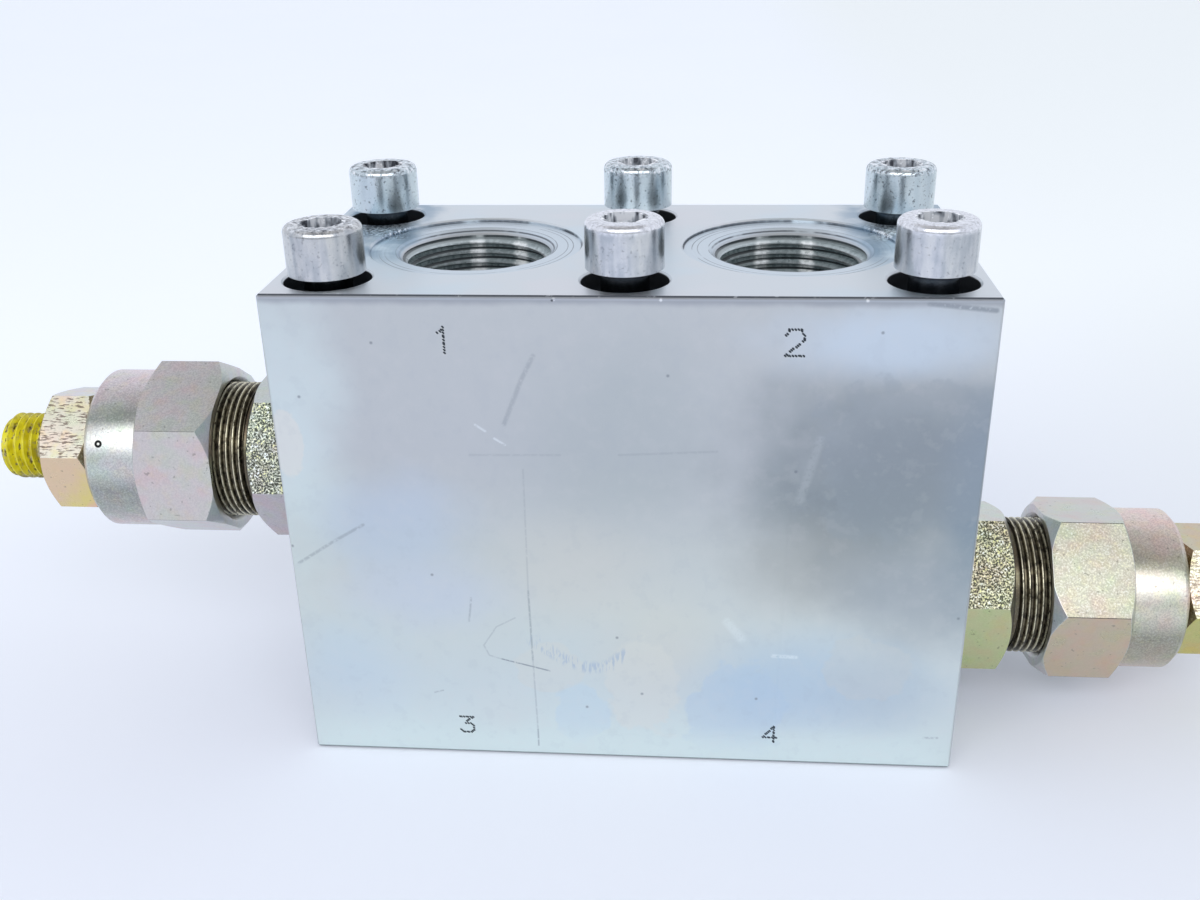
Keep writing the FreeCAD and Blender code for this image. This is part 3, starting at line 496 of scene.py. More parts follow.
def bright_zinc_finish():
    """Bright zinc plating of the mounting screws, duller on the back row, with painted glints on the head
    tops and painted shade on the shanks under the heads and in the sockets.
    """
    f = Finish("bright_zinc_screw")
    x, y, z = f.axes()
    spots = f.noise(2.4, 3, 0.6)
    fine = f.noise(0.5, 2, 0.5)
    streaks = f.noise(1.6, 2, 0.5, stretch=(1.0, 1.0, 6.0), shift=3.0)
    colour = f.ramp(spots * 0.3 + streaks * 0.7, [
        (0.38, (0.46, 0.49, 0.53)), (0.50, (0.57, 0.59, 0.62)), (0.62, (0.66, 0.67, 0.68))])
    back_row = f.rise(y, 0.0, 10.0)
    front_left = f.rise(x, -30.0, -40.0) * (1.0 - back_row)
    colour = f.mix(colour, (0.60, 0.71, 0.75), back_row * 0.6)
    colour = f.mix(colour, (0.94, 0.93, 0.91), front_left, "MULTIPLY")
    specks = f.rise(f.noise(0.7, 2, 0.6, shift=5.0), 0.60, 0.68)
    colour = f.mix(colour, (0.10, 0.11, 0.13), specks * (0.35 + back_row * 0.35))
    head_top = f.rise(z, 120.4, 121.6)
    dirt_and_glints = f.noise(0.9, 3, 0.7, shift=11.0)
    clean = f.rise(y, 0.0, -10.0) * f.rise(x, -30.0, -20.0)
    soiled = f.rise(dirt_and_glints, 0.54, 0.60) * head_top * (1.0 - clean * 0.75)
    colour = f.coats(
        colour,
        # Painted glints on the head tops.
        ((0.94, 0.95, 0.97), f.rise(dirt_and_glints, 0.47, 0.40) * head_top * 0.8),
        ((0.86, 0.86, 0.90), clean * head_top * 0.7),
        ((0.08, 0.08, 0.10), soiled * 0.8))
    radius = screw_radius(f, x, y)
    # Painted shade on the shank under the head: dark all over, near black just below the head where its
    # shadow falls, less dark on the right-hand column.
    under_head = f.rise(radius, 5.6, 5.2) * f.rise(z, 113.2, 113.0) * f.rise(z, 92.0, 106.0)
    shank_shade = f.mix((0.20, 0.22, 0.24), (0.42, 0.46, 0.50), f.rise(x, 30.0, 50.0))
    shank_shade = f.mix(shank_shade, (0.05, 0.055, 0.065), f.rise(z, 110.2, 111.8))
    colour = f.mix(colour, shank_shade, under_head, "MULTIPLY")
    socket = f.rise(radius, 4.85, 4.65) * f.rise(z, 113.2, 113.6)
    # Painted shade and glints inside the hex socket.
    socket_shade_and_glints = f.ramp(f.noise(1.9, 2, 0.6, stretch=(1.0, 1.0, 2.5), shift=6.6), [
        (0.40, (0.08, 0.085, 0.10)), (0.50, (0.45, 0.48, 0.52)), (0.58, (0.95, 0.96, 0.98))])
    colour = f.mix(colour, socket_shade_and_glints, socket)
    height = streaks * 0.6 + fine * 0.25 - soiled * 0.5
    return f.surface(colour, 0.15 + streaks * 0.12 + soiled * 0.2, Metallic=1.0 - socket * 0.65,
                     Normal=f.bump(height, 0.00010, 0.35))


def passivated_finish(name, height, golden=0.0):
    """Thin iridescent passivation round a cartridge's axis, at height in millimetres.

    The piece's tint, grain, ridges and turned attributes vary it face by face."""
    f = Finish(name)
    x, y, z = f.axes()
    clouds = f.noise(6.0, 2, 0.5, shift=2.3)
    drift = f.noise(3.2, 2, 0.5, shift=7.9)
    colour = f.attribute("tint", "Color")
    turned = f.attribute("turned")
    around = f.math("ARCTAN2", z - height, y * -1.0) * (1.0 / math.tau) + 0.5
    bands = f.ramp(around, [
        (0.28, (0.68, 0.58, 0.58)), (0.37, (0.64, 0.57, 0.57)), (0.43, (0.46, 0.47, 0.44)),
        (0.48, (0.38, 0.40, 0.38)), (0.575, (1.0, 1.0, 0.97)), (0.62, (0.34, 0.35, 0.32)),
        (0.66, (0.60, 0.58, 0.57)), (0.76, (0.80, 0.70, 0.72))])
    colour = f.mix(colour, bands, turned, "MULTIPLY")
    grain = f.attribute("grain")
    colour = f.mix(colour, (1.10, 0.88, 0.92), f.rise(clouds, 0.48, 0.70, 0.5), "MULTIPLY")
    colour = f.mix(colour, (0.90, 1.02, 0.90), f.rise(clouds, 0.50, 0.32, 0.6), "MULTIPLY")
    colour = f.mix(colour, (1.06, 1.00, 0.74), f.rise(drift, 0.48, 0.66, 0.25 + golden * 0.4), "MULTIPLY")
    if golden:
        inwards = (130.0 - abs(x)) * (0.5 / 13.0)
        downwards = (height + 4.0 - z) * (0.5 / 15.0)
        rainbow = f.ramp(inwards + downwards + (drift - 0.5) * 0.35, [
            (0.10, (0.80, 0.60, 0.42)), (0.38, (0.80, 0.68, 0.24)), (0.62, (0.88, 0.46, 0.50)),
            (0.86, (0.60, 0.66, 0.36))])
        colour = f.mix(colour, rainbow, f.rise(grain, 0.045, 0.03, 0.8))
    speckle = f.noise(0.42, 2, 0.65)
    hue = f.noise(1.5, 1, 0.5, shift=4.0)
    dark = f.rise(speckle, 0.53, 0.45) * grain
    light = f.rise(speckle, 0.56, 0.64) * grain
    sparkle = f.ramp(hue, [
        (0.40, (0.86, 0.92, 0.96)), (0.52, (0.94, 0.92, 0.66)), (0.62, (0.80, 0.80, 0.34))])
    ridges = f.rise(f.noise(0.40, 2, 0.6, stretch=(5.5, 1.0, 1.0), shift=12.0), 0.53, 0.60)
    ridges = ridges * f.attribute("ridges")
    pits = f.rise(f.noise(1.0, 1, 0.5, shift=9.0), 0.70, 0.76)
    off = f.vector("DISTANCE", f.in_mm(), PUNCHED_RING, "Value")
    colour = f.coats(
        colour,
        ((0.035, 0.038, 0.03), dark * 0.92),
        (sparkle, light * 0.85),
        ((0.20, 0.14, 0.11), ridges * 0.85),
        ((0.14, 0.13, 0.11), pits * 0.4),
        ((0.02, 0.02, 0.02), f.rise(off, 0.95, 0.8) * f.rise(off, 0.22, 0.38)))
    rough = 0.24 + grain * 0.12 + clouds * 0.08
    height = speckle * (0.12 + grain) - pits * 0.6 - ridges
    return f.surface(colour, rough, Metallic=1.0, Normal=f.bump(height, 0.00006, 0.5))


def thread_finish(name, height):
    """Oiled thread of a cartridge's neck: brown valleys and worn bright crests."""
    f = Finish(name)
    _, y, z = f.axes()
    worn = f.rise(f.radius(y, z - height), NECK_RADIUS - 0.40, NECK_RADIUS - 0.02)
    blotches = f.noise(1.6, 3, 0.6)
    broken = f.rise(f.noise(1.2, 3, 0.7, stretch=(0.4, 1.6, 1.6), shift=5.5), 0.36, 0.52)
    valley = f.ramp(blotches, [(0.4, (0.045, 0.038, 0.028)), (0.6, (0.19, 0.165, 0.11))])
    colour = f.mix(valley, (0.80, 0.75, 0.56), worn * broken)
    return f.surface(colour, 0.24 + blotches * 0.25, Metallic=0.9, Normal=f.bump(blotches, 0.00006, 0.5))


def port_thread_finish():
    """Work port threads: painted shade lines in the valleys, bright crests with dull stretches, and painted
    highlight stripes on the far wall.
    """
    f = Finish("port_thread")
    x, y, z = f.axes()
    crest = f.rise(port_radius(f, x, y), PORT_THREAD_ROOT - 0.15, PORT_WALL + 0.25)
    blotches = f.noise(2.6, 3, 0.6)
    streaks = f.rise(f.noise(1.1, 2, 0.5, stretch=(1.0, 1.0, 7.0), shift=4.0), 0.42, 0.60)
    # Painted highlight: bright upright stripes on the far wall of each port.
    highlight_stripes = largest(f, [f.rise(abs(x - at), 2.3, 0.6) for at in (-37.2, -26.8, 29.0, 39.5)])
    highlight_stripes = highlight_stripes * f.rise(y, 4.0, 8.0) * (0.55 + streaks * 0.45)
    # Painted shade: thin dark lines along the thread in the dark base colour, flank colour between them.
    outside_shade_lines = f.rise(f.math("SINE", z * (math.tau * 2.0 / PORT_THREAD_PITCH)), -0.75, -0.2)
    flank = f.coats((0.25, 0.31, 0.32), ((0.40, 0.47, 0.48), streaks), ((0.97, 0.98, 0.96), highlight_stripes))
    chamfer = f.rise(z, COUNTERSINK_END - 0.1, COUNTERSINK_END + 0.3)
    # Painted shade: a dark line where the thread cuts the countersink.
    chamfer_shade_line = chamfer * f.rise(abs(z - COUNTERSINK_END - 0.95), 0.34, 0.16)
    colour = f.coats(
        (0.05, 0.06, 0.065),
        (flank, outside_shade_lines),
        # Bright crests, brighter still under the painted highlight stripes.
        ((0.90, 0.93, 0.94), crest * f.rise(blotches, 0.22, 0.5) * (0.20 + highlight_stripes * 0.6)),
        ((0.52, 0.58, 0.59), chamfer * 0.6),
        ((0.06, 0.07, 0.075), chamfer_shade_line * (0.9 - highlight_stripes * 0.6)))
    return f.surface(colour, 0.22 + blotches * 0.16, Metallic=0.45 - highlight_stripes * 0.35,
                     Normal=f.bump(blotches, 0.00006, 0.4))


def painted_thread_finish(name, height):
    """Yellow marking paint over a thread, chipped brown here and there."""
    f = Finish(name)
    x, y, z = f.axes()
    off = z - height
    chips = f.rise(f.noise(1.3, 3, 0.7, stretch=(0.5, 1.5, 1.5)), 0.54, 0.60)
    valley = f.rise(f.radius(y, off), 7.5, 6.9)
    bare = f.rise(abs(x) + (f.noise(4.0, 2, 0.5) - 0.5) * 3.0, 143.6, 142.6)
    under = f.rise(off, -4.6, -6.4)
    chips = f.math("MAXIMUM", chips * (0.30 + valley * 0.70), f.math("MAXIMUM", bare, under * 0.8))
    shade = f.noise(3.0, 2, 0.5, shift=7.0)
    paint = f.ramp(shade, [(0.35, (0.56, 0.47, 0.008)), (0.6, (0.80, 0.72, 0.02))])
    metal = f.ramp(f.noise(0.9), [(0.4, (0.12, 0.09, 0.03)), (0.6, (0.52, 0.47, 0.33))])
    colour = f.mix(paint, metal, chips)
    return f.surface(colour, 0.36 + chips * 0.1, Metallic=chips * 0.9,
                     Normal=f.bump(shade - chips * 0.5, 0.0001, 0.4))


def steel_finish(name, colour, roughness):
    f = Finish(name)
    clouds = f.noise(4.0, 2, 0.5)
    streaks = f.noise(0.5, 2, 0.5, stretch=(0.3, 4.0, 4.0))
    dull = tuple(part * 0.72 for part in colour)
    tone = f.mix(dull, colour, f.rise(clouds, 0.3, 0.65))
    return f.surface(tone, roughness + streaks * 0.1, Metallic=1.0, Normal=f.bump(streaks, 0.00003, 0.3))


def rubber_finish():
    f = Finish("seal_rubber")
    bloom = f.noise(1.5, 2, 0.5)
    colour = f.mix((0.018, 0.018, 0.02), (0.05, 0.05, 0.055), f.rise(bloom, 0.45, 0.7))
    return f.surface(colour, 0.45 + bloom * 0.2, Normal=f.bump(bloom, 0.00005, 0.3))


def backup_finish():
    f = Finish("backup_plastic")
    clouds = f.noise(2.0, 2, 0.5)
    colour = f.mix((0.78, 0.77, 0.72), (0.88, 0.87, 0.83), clouds)
    return f.surface(colour, 0.42 + clouds * 0.1, Normal=f.bump(clouds, 0.00004, 0.3))


FINISHES = {
    "zinc_block": zinc_block_finish(),
    "bright_zinc_screw": bright_zinc_finish(),
    "port_thread": port_thread_finish(),
    "hardened_steel": steel_finish("hardened_steel", (0.56, 0.57, 0.58), 0.22),
    "spring_wire": steel_finish("spring_wire", (0.25, 0.26, 0.28), 0.3),
    "seal_rubber": rubber_finish(),
    "backup_plastic": backup_finish(),
}
for side, height in AXIS_HEIGHT.items():
    FINISHES[side + "_passivated"] = passivated_finish(side + "_passivated", height)
    FINISHES[side + "_golden"] = passivated_finish(side + "_golden", height, 1.0)
    FINISHES[side + "_neck_thread"] = thread_finish(side + "_neck_thread", height)
    FINISHES[side + "_adjuster_thread"] = painted_thread_finish(side + "_adjuster_thread", height)


# Mesh helpers

def joined_copy(node):
    """A bmesh of a CAD node, its loose triangles joined."""
    shape = bmesh.new()
    shape.from_mesh(frame["nodes"][node].data)
    bmesh.ops.remove_doubles(shape, verts=shape.verts, dist=1e-7)
    return shape


def merged_copy(node):
    """A joined copy whose flat faces are whole."""
    shape = joined_copy(node)
    bmesh.ops.dissolve_limit(shape, angle_limit=math.radians(0.3), verts=shape.verts, edges=shape.edges)
    return shape


def slice_shape(shape, point, normal, **sides):
    bmesh.ops.bisect_plane(shape, geom=shape.verts[:] + shape.edges[:] + shape.faces[:], dist=1e-8,
                           plane_co=point, plane_no=normal, **sides)


def mesh_of(shape, name):
    mesh = bpy.data.meshes.new(name)
    shape.to_mesh(mesh)
    shape.free()
    return mesh


def add_object(name, data):
    added = bpy.data.objects.new(name, data)
    bpy.context.scene.collection.objects.link(added)
    return added


def break_edges(shape, width, sharper_than=28):
    """Small bevel on every edge that stands out by more than the given angle."""
    sharp = [edge for edge in shape.edges if edge.is_manifold and edge.is_convex
             and edge.calc_face_angle() > math.radians(sharper_than)]
    bmesh.ops.bevel(shape, geom=sharp, offset=mm(width), offset_type="OFFSET", segments=2, profile=0.5,
                    affect="EDGES", clamp_overlap=True, material=-1)


def finish_piece(shape, name, body, finish, slot, replaces=None, smooth_angle=14):
    for face in shape.faces:
        face.smooth = True
    for edge in shape.edges:
        edge.smooth = edge.is_manifold and edge.calc_face_angle() < math.radians(smooth_angle)
    mesh = mesh_of(shape, name)
    if "custom_normal" in mesh.attributes:
        mesh.attributes.remove(mesh.attributes["custom_normal"])
    mesh.materials.append(FINISHES[finish])
    piece = add_object(name, mesh)
    if body:
        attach(piece, body)
    if replaces:
        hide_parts(replaces)
    return piece


def boundary(shape):
    return [edge for edge in shape.edges if edge.is_boundary]


def helix_surface(length, pitch, root, crest, segments):
    """Right-hand thread surface along Z from 0 to length, open at both ends."""
    shape = bmesh.new()
    profile = [(root, 0.0), (root, 0.25), (crest, 0.5625), (crest, 0.6875), (root, 1.0)]
    start = -2 * pitch
    points = [shape.verts.new(mm(radius, 0, start + part * pitch)) for radius, part in profile]
    lines = [shape.edges.new(pair) for pair in zip(points, points[1:])]
    bmesh.ops.spin(shape, geom=points + lines, cent=(0, 0, 0), axis=(0, 0, 1), angle=math.tau,
                   dvec=mm(0, 0, pitch / segments), steps=segments)
    one_turn = shape.verts[:] + shape.edges[:] + shape.faces[:]
    for turn in range(1, math.ceil(length / pitch) + 4):
        copied = bmesh.ops.duplicate(shape, geom=one_turn)["geom"]
        moved = [item for item in copied if isinstance(item, bmesh.types.BMVert)]
        bmesh.ops.translate(shape, vec=mm(0, 0, turn * pitch), verts=moved)
    bmesh.ops.remove_doubles(shape, verts=shape.verts, dist=1e-6)
    for height, way in ((0, -1), (length, 1)):
        slice_shape(shape, mm(0, 0, height), (0, 0, way), clear_outer=True)
    bmesh.ops.remove_doubles(shape, verts=shape.verts, dist=1e-6)
    return shape


def limit_radius(shape, limit):
    """Moves each vertex in to the radius that limit(height) allows; both in millimetres."""
    for vertex in shape.verts:
        radius = math.hypot(vertex.co.x, vertex.co.y) * 1000
        allowed = limit(vertex.co.z * 1000)
        if radius > allowed:
            vertex.co.x *= allowed / radius
            vertex.co.y *= allowed / radius


def end_loop(shape, height):
    return [edge for edge in boundary(shape)
            if all(abs(vertex.co.z * 1000 - height) < 0.001 for vertex in edge.verts)]


def extrude_ring(shape, edges, radius=None, move=(0, 0, 0)):
    """Extrudes an open rim to a new radius round Z, and along move; returns the new rim."""
    made = bmesh.ops.extrude_edge_only(shape, edges=edges)["geom"]
    for item in made:
        if isinstance(item, bmesh.types.BMVert):
            if radius is not None:
                now = math.hypot(item.co.x, item.co.y)
                item.co.x *= mm(radius) / now
                item.co.y *= mm(radius) / now
            item.co += mm(*move)
    return [item for item in made if isinstance(item, bmesh.types.BMEdge)]


def thread_sleeve(length, pitch, root, crest, wall, segments=96, limit=None):
    """A closed ring with a thread on one side and a plain wall on the other."""
    shape = helix_surface(length, pitch, root, crest, segments)
    if limit:
        limit(shape)
    rims = [extrude_ring(shape, end_loop(shape, height), wall) for height in (0, length)]
    bmesh.ops.bridge_loops(shape, edges=rims[0] + rims[1])
    bmesh.ops.recalc_face_normals(shape, faces=shape.faces)
    return shape


def lay_on_axis(shape, side, start):
    """Turns a shape made along Z onto a cartridge's axis, its zero at start from the middle."""
    quarter = Matrix.Rotation(math.radians(90 * OUTWARDS[side]), 4, "Y")
    place = Matrix.Translation(mm(start * OUTWARDS[side], 0, AXIS_HEIGHT[side]))
    bmesh.ops.transform(shape, matrix=place @ quarter, verts=shape.verts)


# Tint of a face, and how speckled, ridged and turned it is, from 0 to 1
LOOK_NUMBERS = ("grain", "ridges", "turned")
Look = namedtuple("Look", ("tint", *LOOK_NUMBERS), defaults=(0.1, 0.0, 0.0))


def add_attributes(piece, side, rules):
    """The look of every face, from its direction round the cartridge's axis and its station."""
    mesh = piece.data
    mesh.attributes.new("tint", "FLOAT_COLOR", "CORNER")
    for name in LOOK_NUMBERS:
        mesh.attributes.new(name, "FLOAT", "FACE")
    for polygon in mesh.polygons:
        normal = polygon.normal
        around = math.degrees(math.atan2(normal.z, -normal.y))
        station = polygon.center.x * 1000 * OUTWARDS[side]
        off = polygon.center - Vector((polygon.center.x, 0, mm(AXIS_HEIGHT[side])))
        look = rules(around, station, abs(normal.x), off.length * 1000)
        for corner in polygon.loop_indices:
            mesh.attributes["tint"].data[corner].color = (*look.tint, 1.0)
        for name in LOOK_NUMBERS:
            mesh.attributes[name].data[polygon.index].value = getattr(look, name)


# The block

DIGIT_STROKES = {
    "1": [[(0.2, 0.78), (0.55, 1.0), (0.55, 0.0)]],
    "2": [[(0.0, 0.8), (0.2, 1.0), (0.8, 1.0), (1.0, 0.8), (1.0, 0.6), (0.0, 0.0), (1.0, 0.0)]],
    "3": [[(0.0, 1.0), (1.0, 1.0), (0.45, 0.6), (0.8, 0.6), (1.0, 0.42), (1.0, 0.18), (0.8, 0.0),
           (0.2, 0.0), (0.0, 0.18)]],
    "4": [[(0.75, 0.0), (0.75, 1.0), (0.0, 0.3), (1.0, 0.3)]],
}
# Each digit's middle, foot and height on the front face
DIGIT_PLACES = {
    "1": (-35.5, 98.2, 5.2), "2": (33.6, 98.2, 5.2), "3": (-36.7, 5.6, 4.4), "4": (32.2, 5.6, 4.4),
}
DIGIT_WIDTH = 0.68  # of its height
PEEN_GRID = 0.3
PEEN_SPACING = 0.5
PEEN_DEPTH = 0.2


def peen_places(digit):
    """Grid corners, in millimetres on the front face, that the punch hits for one digit."""
    middle, foot, height = DIGIT_PLACES[digit]
    width = height * DIGIT_WIDTH
    hits = set()
    for stroke in DIGIT_STROKES[digit]:
        for (x0, z0), (x1, z1) in zip(stroke, stroke[1:]):
            run, rise = (x1 - x0) * width, (z1 - z0) * height
            count = max(1, round(math.hypot(run, rise) / PEEN_SPACING))
            for step in range(count + 1):
                part = step / count
                x = middle - width / 2 + x0 * width + run * part
                z = foot + z0 * height + rise * part
                hits.add((round(x / PEEN_GRID), round(z / PEEN_GRID)))
    return hits


def front_faces(shape, low, high):
    """Faces of the front face whose middle lies between two corners."""
    return [face for face in shape.faces
            if face.normal.y < -0.999 and abs(face.calc_center_median().y + mm(BLOCK_HALF_DEPTH)) < 1e-6
            and mm(low[0]) < face.calc_center_median().x < mm(high[0])
            and mm(low[1]) < face.calc_center_median().z < mm(high[1])]


def cut_front(shape, faces, axis, at):
    edges = {edge for face in faces for edge in face.edges}
    verts = {vertex for face in faces for vertex in face.verts}
    normal = (1, 0, 0) if axis == 0 else (0, 0, 1)
    point = mm(at, 0, 0) if axis == 0 else mm(0, 0, at)
    bmesh.ops.bisect_plane(shape, geom=list(faces) + list(edges) + list(verts), dist=1e-9,
                           plane_co=point, plane_no=normal)


def peen_digit(shape, digit):
    """Punches a digit into the front face as a row of small dents."""
    hits = peen_places(digit)
    columns = [hit[0] for hit in hits]
    rows = [hit[1] for hit in hits]
    low = ((min(columns) - 1) * PEEN_GRID, (min(rows) - 1) * PEEN_GRID)
    high = ((max(columns) + 1) * PEEN_GRID, (max(rows) + 1) * PEEN_GRID)
    left, right = -BLOCK_HALF_LENGTH, BLOCK_HALF_LENGTH
    for at in (low[1], high[1]):
        cut_front(shape, front_faces(shape, (left, 0.0), (right, BLOCK_HEIGHT)), 1, at)
    for at in (low[0], high[0]):
        cut_front(shape, front_faces(shape, (left, low[1]), (right, high[1])), 0, at)
    for column in range(min(columns), max(columns) + 1):
        cut_front(shape, front_faces(shape, low, high), 0, column * PEEN_GRID)
    for row in range(min(rows), max(rows) + 1):
        cut_front(shape, front_faces(shape, low, high), 1, row * PEEN_GRID)
    for vertex in shape.verts:
        x, y, z = vertex.co * 1000
        corner = (round(x / PEEN_GRID), round(z / PEEN_GRID))
        on_grid = abs(x - corner[0] * PEEN_GRID) < 0.01 and abs(z - corner[1] * PEEN_GRID) < 0.01
        if abs(y + BLOCK_HALF_DEPTH) < 0.001 and on_grid and corner in hits:
            vertex.co.y += mm(PEEN_DEPTH)


def make_block():
    shape = merged_copy("valve_block")
    for vertex in shape.verts:
        x, y, z = vertex.co * 1000
        middle = math.copysign(PORT_X, x)
        radius = math.hypot(x - middle, y)
        if abs(radius - PORT_WALL) < 0.02 and z > TAP_END - 0.01:
            grow = WIDENED_WALL / radius
            vertex.co.x = mm(middle + (x - middle) * grow)
            vertex.co.y = mm(y * grow)
            step = WIDENED_WALL - PORT_WALL
            vertex.co.z += mm(step if z > COUNTERSINK_END - 0.01 else step * DRILL_POINT_SLOPE)
    for digit in DIGIT_PLACES:
        peen_digit(shape, digit)
    finish_piece(shape, "valve_block_dressed", "root", "zinc_block", "zinc_block", "valve_block")


def make_port_thread(side):
    foot = TAP_END + PORT_THREAD_RUNOUT
    length = COUNTERSINK_END + (WIDENED_WALL - PORT_WALL) - OVERLAP - foot

    def countersink(shape):
        for vertex in shape.verts:
            radius = math.hypot(vertex.co.x, vertex.co.y) * 1000
            least = PORT_WALL + max(0.0, vertex.co.z * 1000 + foot - COUNTERSINK_END)
            if radius < least:
                vertex.co.x *= least / radius
                vertex.co.y *= least / radius

    shape = thread_sleeve(length, PORT_THREAD_PITCH, PORT_THREAD_ROOT, PORT_WALL, WIDENED_WALL + OVERLAP,
                          segments=120, limit=countersink)
    bmesh.ops.translate(shape, vec=mm(PORT_X * OUTWARDS[side], 0, foot), verts=shape.verts)
    finish_piece(shape, side + "_port_thread", "root", "port_thread", "zinc_block", smooth_angle=25)


# The screws

def make_mounting_screw(row, column):
    node = f"{row}_{column}_mounting_screw"
    low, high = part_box(node)
    middle = (low + high) / 2
    shape = merged_copy(node)
    for vertex in shape.verts:
        if abs(vertex.co.z - high.z + mm(SCREW_HEAD_HEIGHT)) < mm(0.01):
            vertex.co.z += mm(SEAT_GAP)
    thread_top = mm(0, 0, low.z * 1000 + SCREW_THREAD_LENGTH - OVERLAP)
    slice_shape(shape, thread_top, (0, 0, 1), clear_inner=True)
    bmesh.ops.holes_fill(shape, edges=boundary(shape))
    thread = helix_surface(SCREW_THREAD_LENGTH, THREAD_PITCH, SCREW_RADIUS - THREAD_DEPTH, SCREW_RADIUS, 48)
    limit_radius(thread, lambda height: SCREW_RADIUS - THREAD_LEAD + height)
    bmesh.ops.holes_fill(thread, edges=boundary(thread))
    bmesh.ops.recalc_face_normals(thread, faces=thread.faces)
    bmesh.ops.translate(thread, vec=Vector((middle.x, middle.y, low.z)), verts=thread.verts)
    part = mesh_of(thread, node + "_thread_part")
    shape.from_mesh(part)
    bpy.data.meshes.remove(part)
    finish_piece(shape, node + "_dressed", node, "bright_zinc_screw", "bright_zinc_screw", node,
                 smooth_angle=24)


# The cartridges

# Each flat's look by its direction: 0 faces the front, 90 is up
BODY_FLATS = {
    "left": {25: Look((0.42, 0.44, 0.38), 1.0), -35: Look((0.56, 0.52, 0.54)),
             85: Look((0.60, 0.62, 0.60))},
    "right": {34: Look((0.50, 0.49, 0.34), 1.0), -26: Look((0.61, 0.64, 0.36), 0.04),
              94: Look((0.62, 0.64, 0.58))},
}
BONNET_FLATS = {
    "left": {64: Look((0.68, 0.66, 0.66), 0.16), 4: Look((0.65, 0.60, 0.58), 0.08),
             -56: Look((0.60, 0.58, 0.58))},
    "right": {41: Look((0.40, 0.39, 0.32), 0.22), -19: Look((0.64, 0.54, 0.42), 0.03),
              101: Look((0.62, 0.61, 0.56), 0.03)},
}
NUT_FLATS = {
    "left": {44: Look((0.88, 0.82, 0.68), 0.05, 1.0), -16: Look((0.74, 0.58, 0.34), 0.02),
             104: Look((0.68, 0.66, 0.66), 0.06), -76: Look((0.66, 0.50, 0.40), 0.02)},
    "right": {26: Look((0.86, 0.76, 0.60), 0.55, 0.8), -34: Look((0.62, 0.58, 0.24), 0.05),
              86: Look((0.62, 0.56, 0.40), 0.05)},
}
# Painted highlight on the body's bevelled edges.
BODY_EDGE_HIGHLIGHT = Look((0.86, 0.83, 0.70), 0.2)
NECK = Look((0.15, 0.13, 0.09))
# Painted shade: a dark line on the bonnet's bevelled edges.
BONNET_EDGE_SHADE = Look((0.10, 0.09, 0.085))
SHOULDER = {"left": Look((1.0, 1.0, 1.0), 0.2, 0.0, 1.0), "right": Look((1.06, 0.99, 0.88), 0.2, 0.0, 1.0)}
# Painted highlight on the nut's bevelled edges.
NUT_EDGE_HIGHLIGHT = Look((0.90, 0.85, 0.74))
NUT_REST = Look((0.40, 0.32, 0.20), 0.3)
WASHER = Look((0.50, 0.38, 0.20), 0.15)
REST = Look((0.62, 0.62, 0.60), 0.08)


def flat_rules(flats, apothem, edge, rest=REST):
    """Face rule for a hexagon: looks for the flats by direction, for the edges between and for the rest."""
    def rules(around, station, along, radius):
        if along < 0.02 and radius < apothem * 1.12:
            for direction, look in flats.items():
                if abs((around - direction + 180) % 360 - 180) < 12:
                    return look
        return edge if along < 0.02 and radius > apothem * 1.06 else rest
    return rules


def past_hexagon(hexagon, start, limit, look):
    """A hexagon's rule, with one look for the round part past start and within limit."""
    def rules(around, station, along, radius):
        round_part = station > start and radius < limit
        return look if round_part else hexagon(around, station, along, radius)
    return rules


def dress(shape, side, node, width, rules, golden=False):
    """Makes a cartridge's piece with broken edges and a look for each face."""
    break_edges(shape, width)
    body, finish, slot = "root", "_passivated", "passivated_cartridge"
    if golden:
        body, finish, slot = node, "_golden", "golden_passivated"
    add_attributes(finish_piece(shape, node + "_dressed", body, side + finish, slot, node), side, rules)


def make_valve_body(side):
    node = side + "_valve_body"
    shape = merged_copy(node)
    for station in (NECK_THREAD_END, NECK_THREAD_END + 0.1):
        slice_shape(shape, mm(station * OUTWARDS[side], 0, 0), (1, 0, 0))
    middle = AXIS_HEIGHT[side]
    for vertex in shape.verts:
        x, y, z = vertex.co * 1000
        radius = math.hypot(y, z - middle)
        if abs(radius - NECK_RADIUS) < 0.03 and NECK_START - 0.05 < abs(x) < NECK_THREAD_END + 0.05:
            vertex.co.y = mm(y * NECK_CORE / radius)
            vertex.co.z = mm(middle + (z - middle) * NECK_CORE / radius)
    hexagon = flat_rules(BODY_FLATS[side], BODY_APOTHEM, BODY_EDGE_HIGHLIGHT)
    dress(shape, side, node, 0.35, past_hexagon(hexagon, BODY_HEXAGON_END, NECK_RADIUS + 0.4, NECK))
    sleeve = thread_sleeve(NECK_THREAD_END - NECK_START, THREAD_PITCH, NECK_RADIUS - THREAD_DEPTH,
                           NECK_RADIUS, NECK_SLEEVE_WALL)
    lay_on_axis(sleeve, side, NECK_START)
    finish_piece(sleeve, side + "_neck_thread", "root", side + "_neck_thread", "passivated_cartridge",
                 smooth_angle=24)


def make_bonnet(side):
    node = side + "_bonnet"
    hexagon = flat_rules(BONNET_FLATS[side], BONNET_APOTHEM, BONNET_EDGE_SHADE)
    rules = past_hexagon(hexagon, SHOULDER_START, SHOULDER_RADIUS, SHOULDER[side])
    dress(merged_copy(node), side, node, 0.4, rules)


def make_lock_washer(side):
    node = side + "_lock_washer"
    dress(merged_copy(node), side, node, 0.1, lambda *place: WASHER, golden=True)


def make_lock_nut(side):
    node = side + "_lock_nut"
    rules = flat_rules(NUT_FLATS[side], NUT_APOTHEM, NUT_EDGE_HIGHLIGHT, NUT_REST)
    dress(merged_copy(node), side, node, 0.5, rules, golden=True)


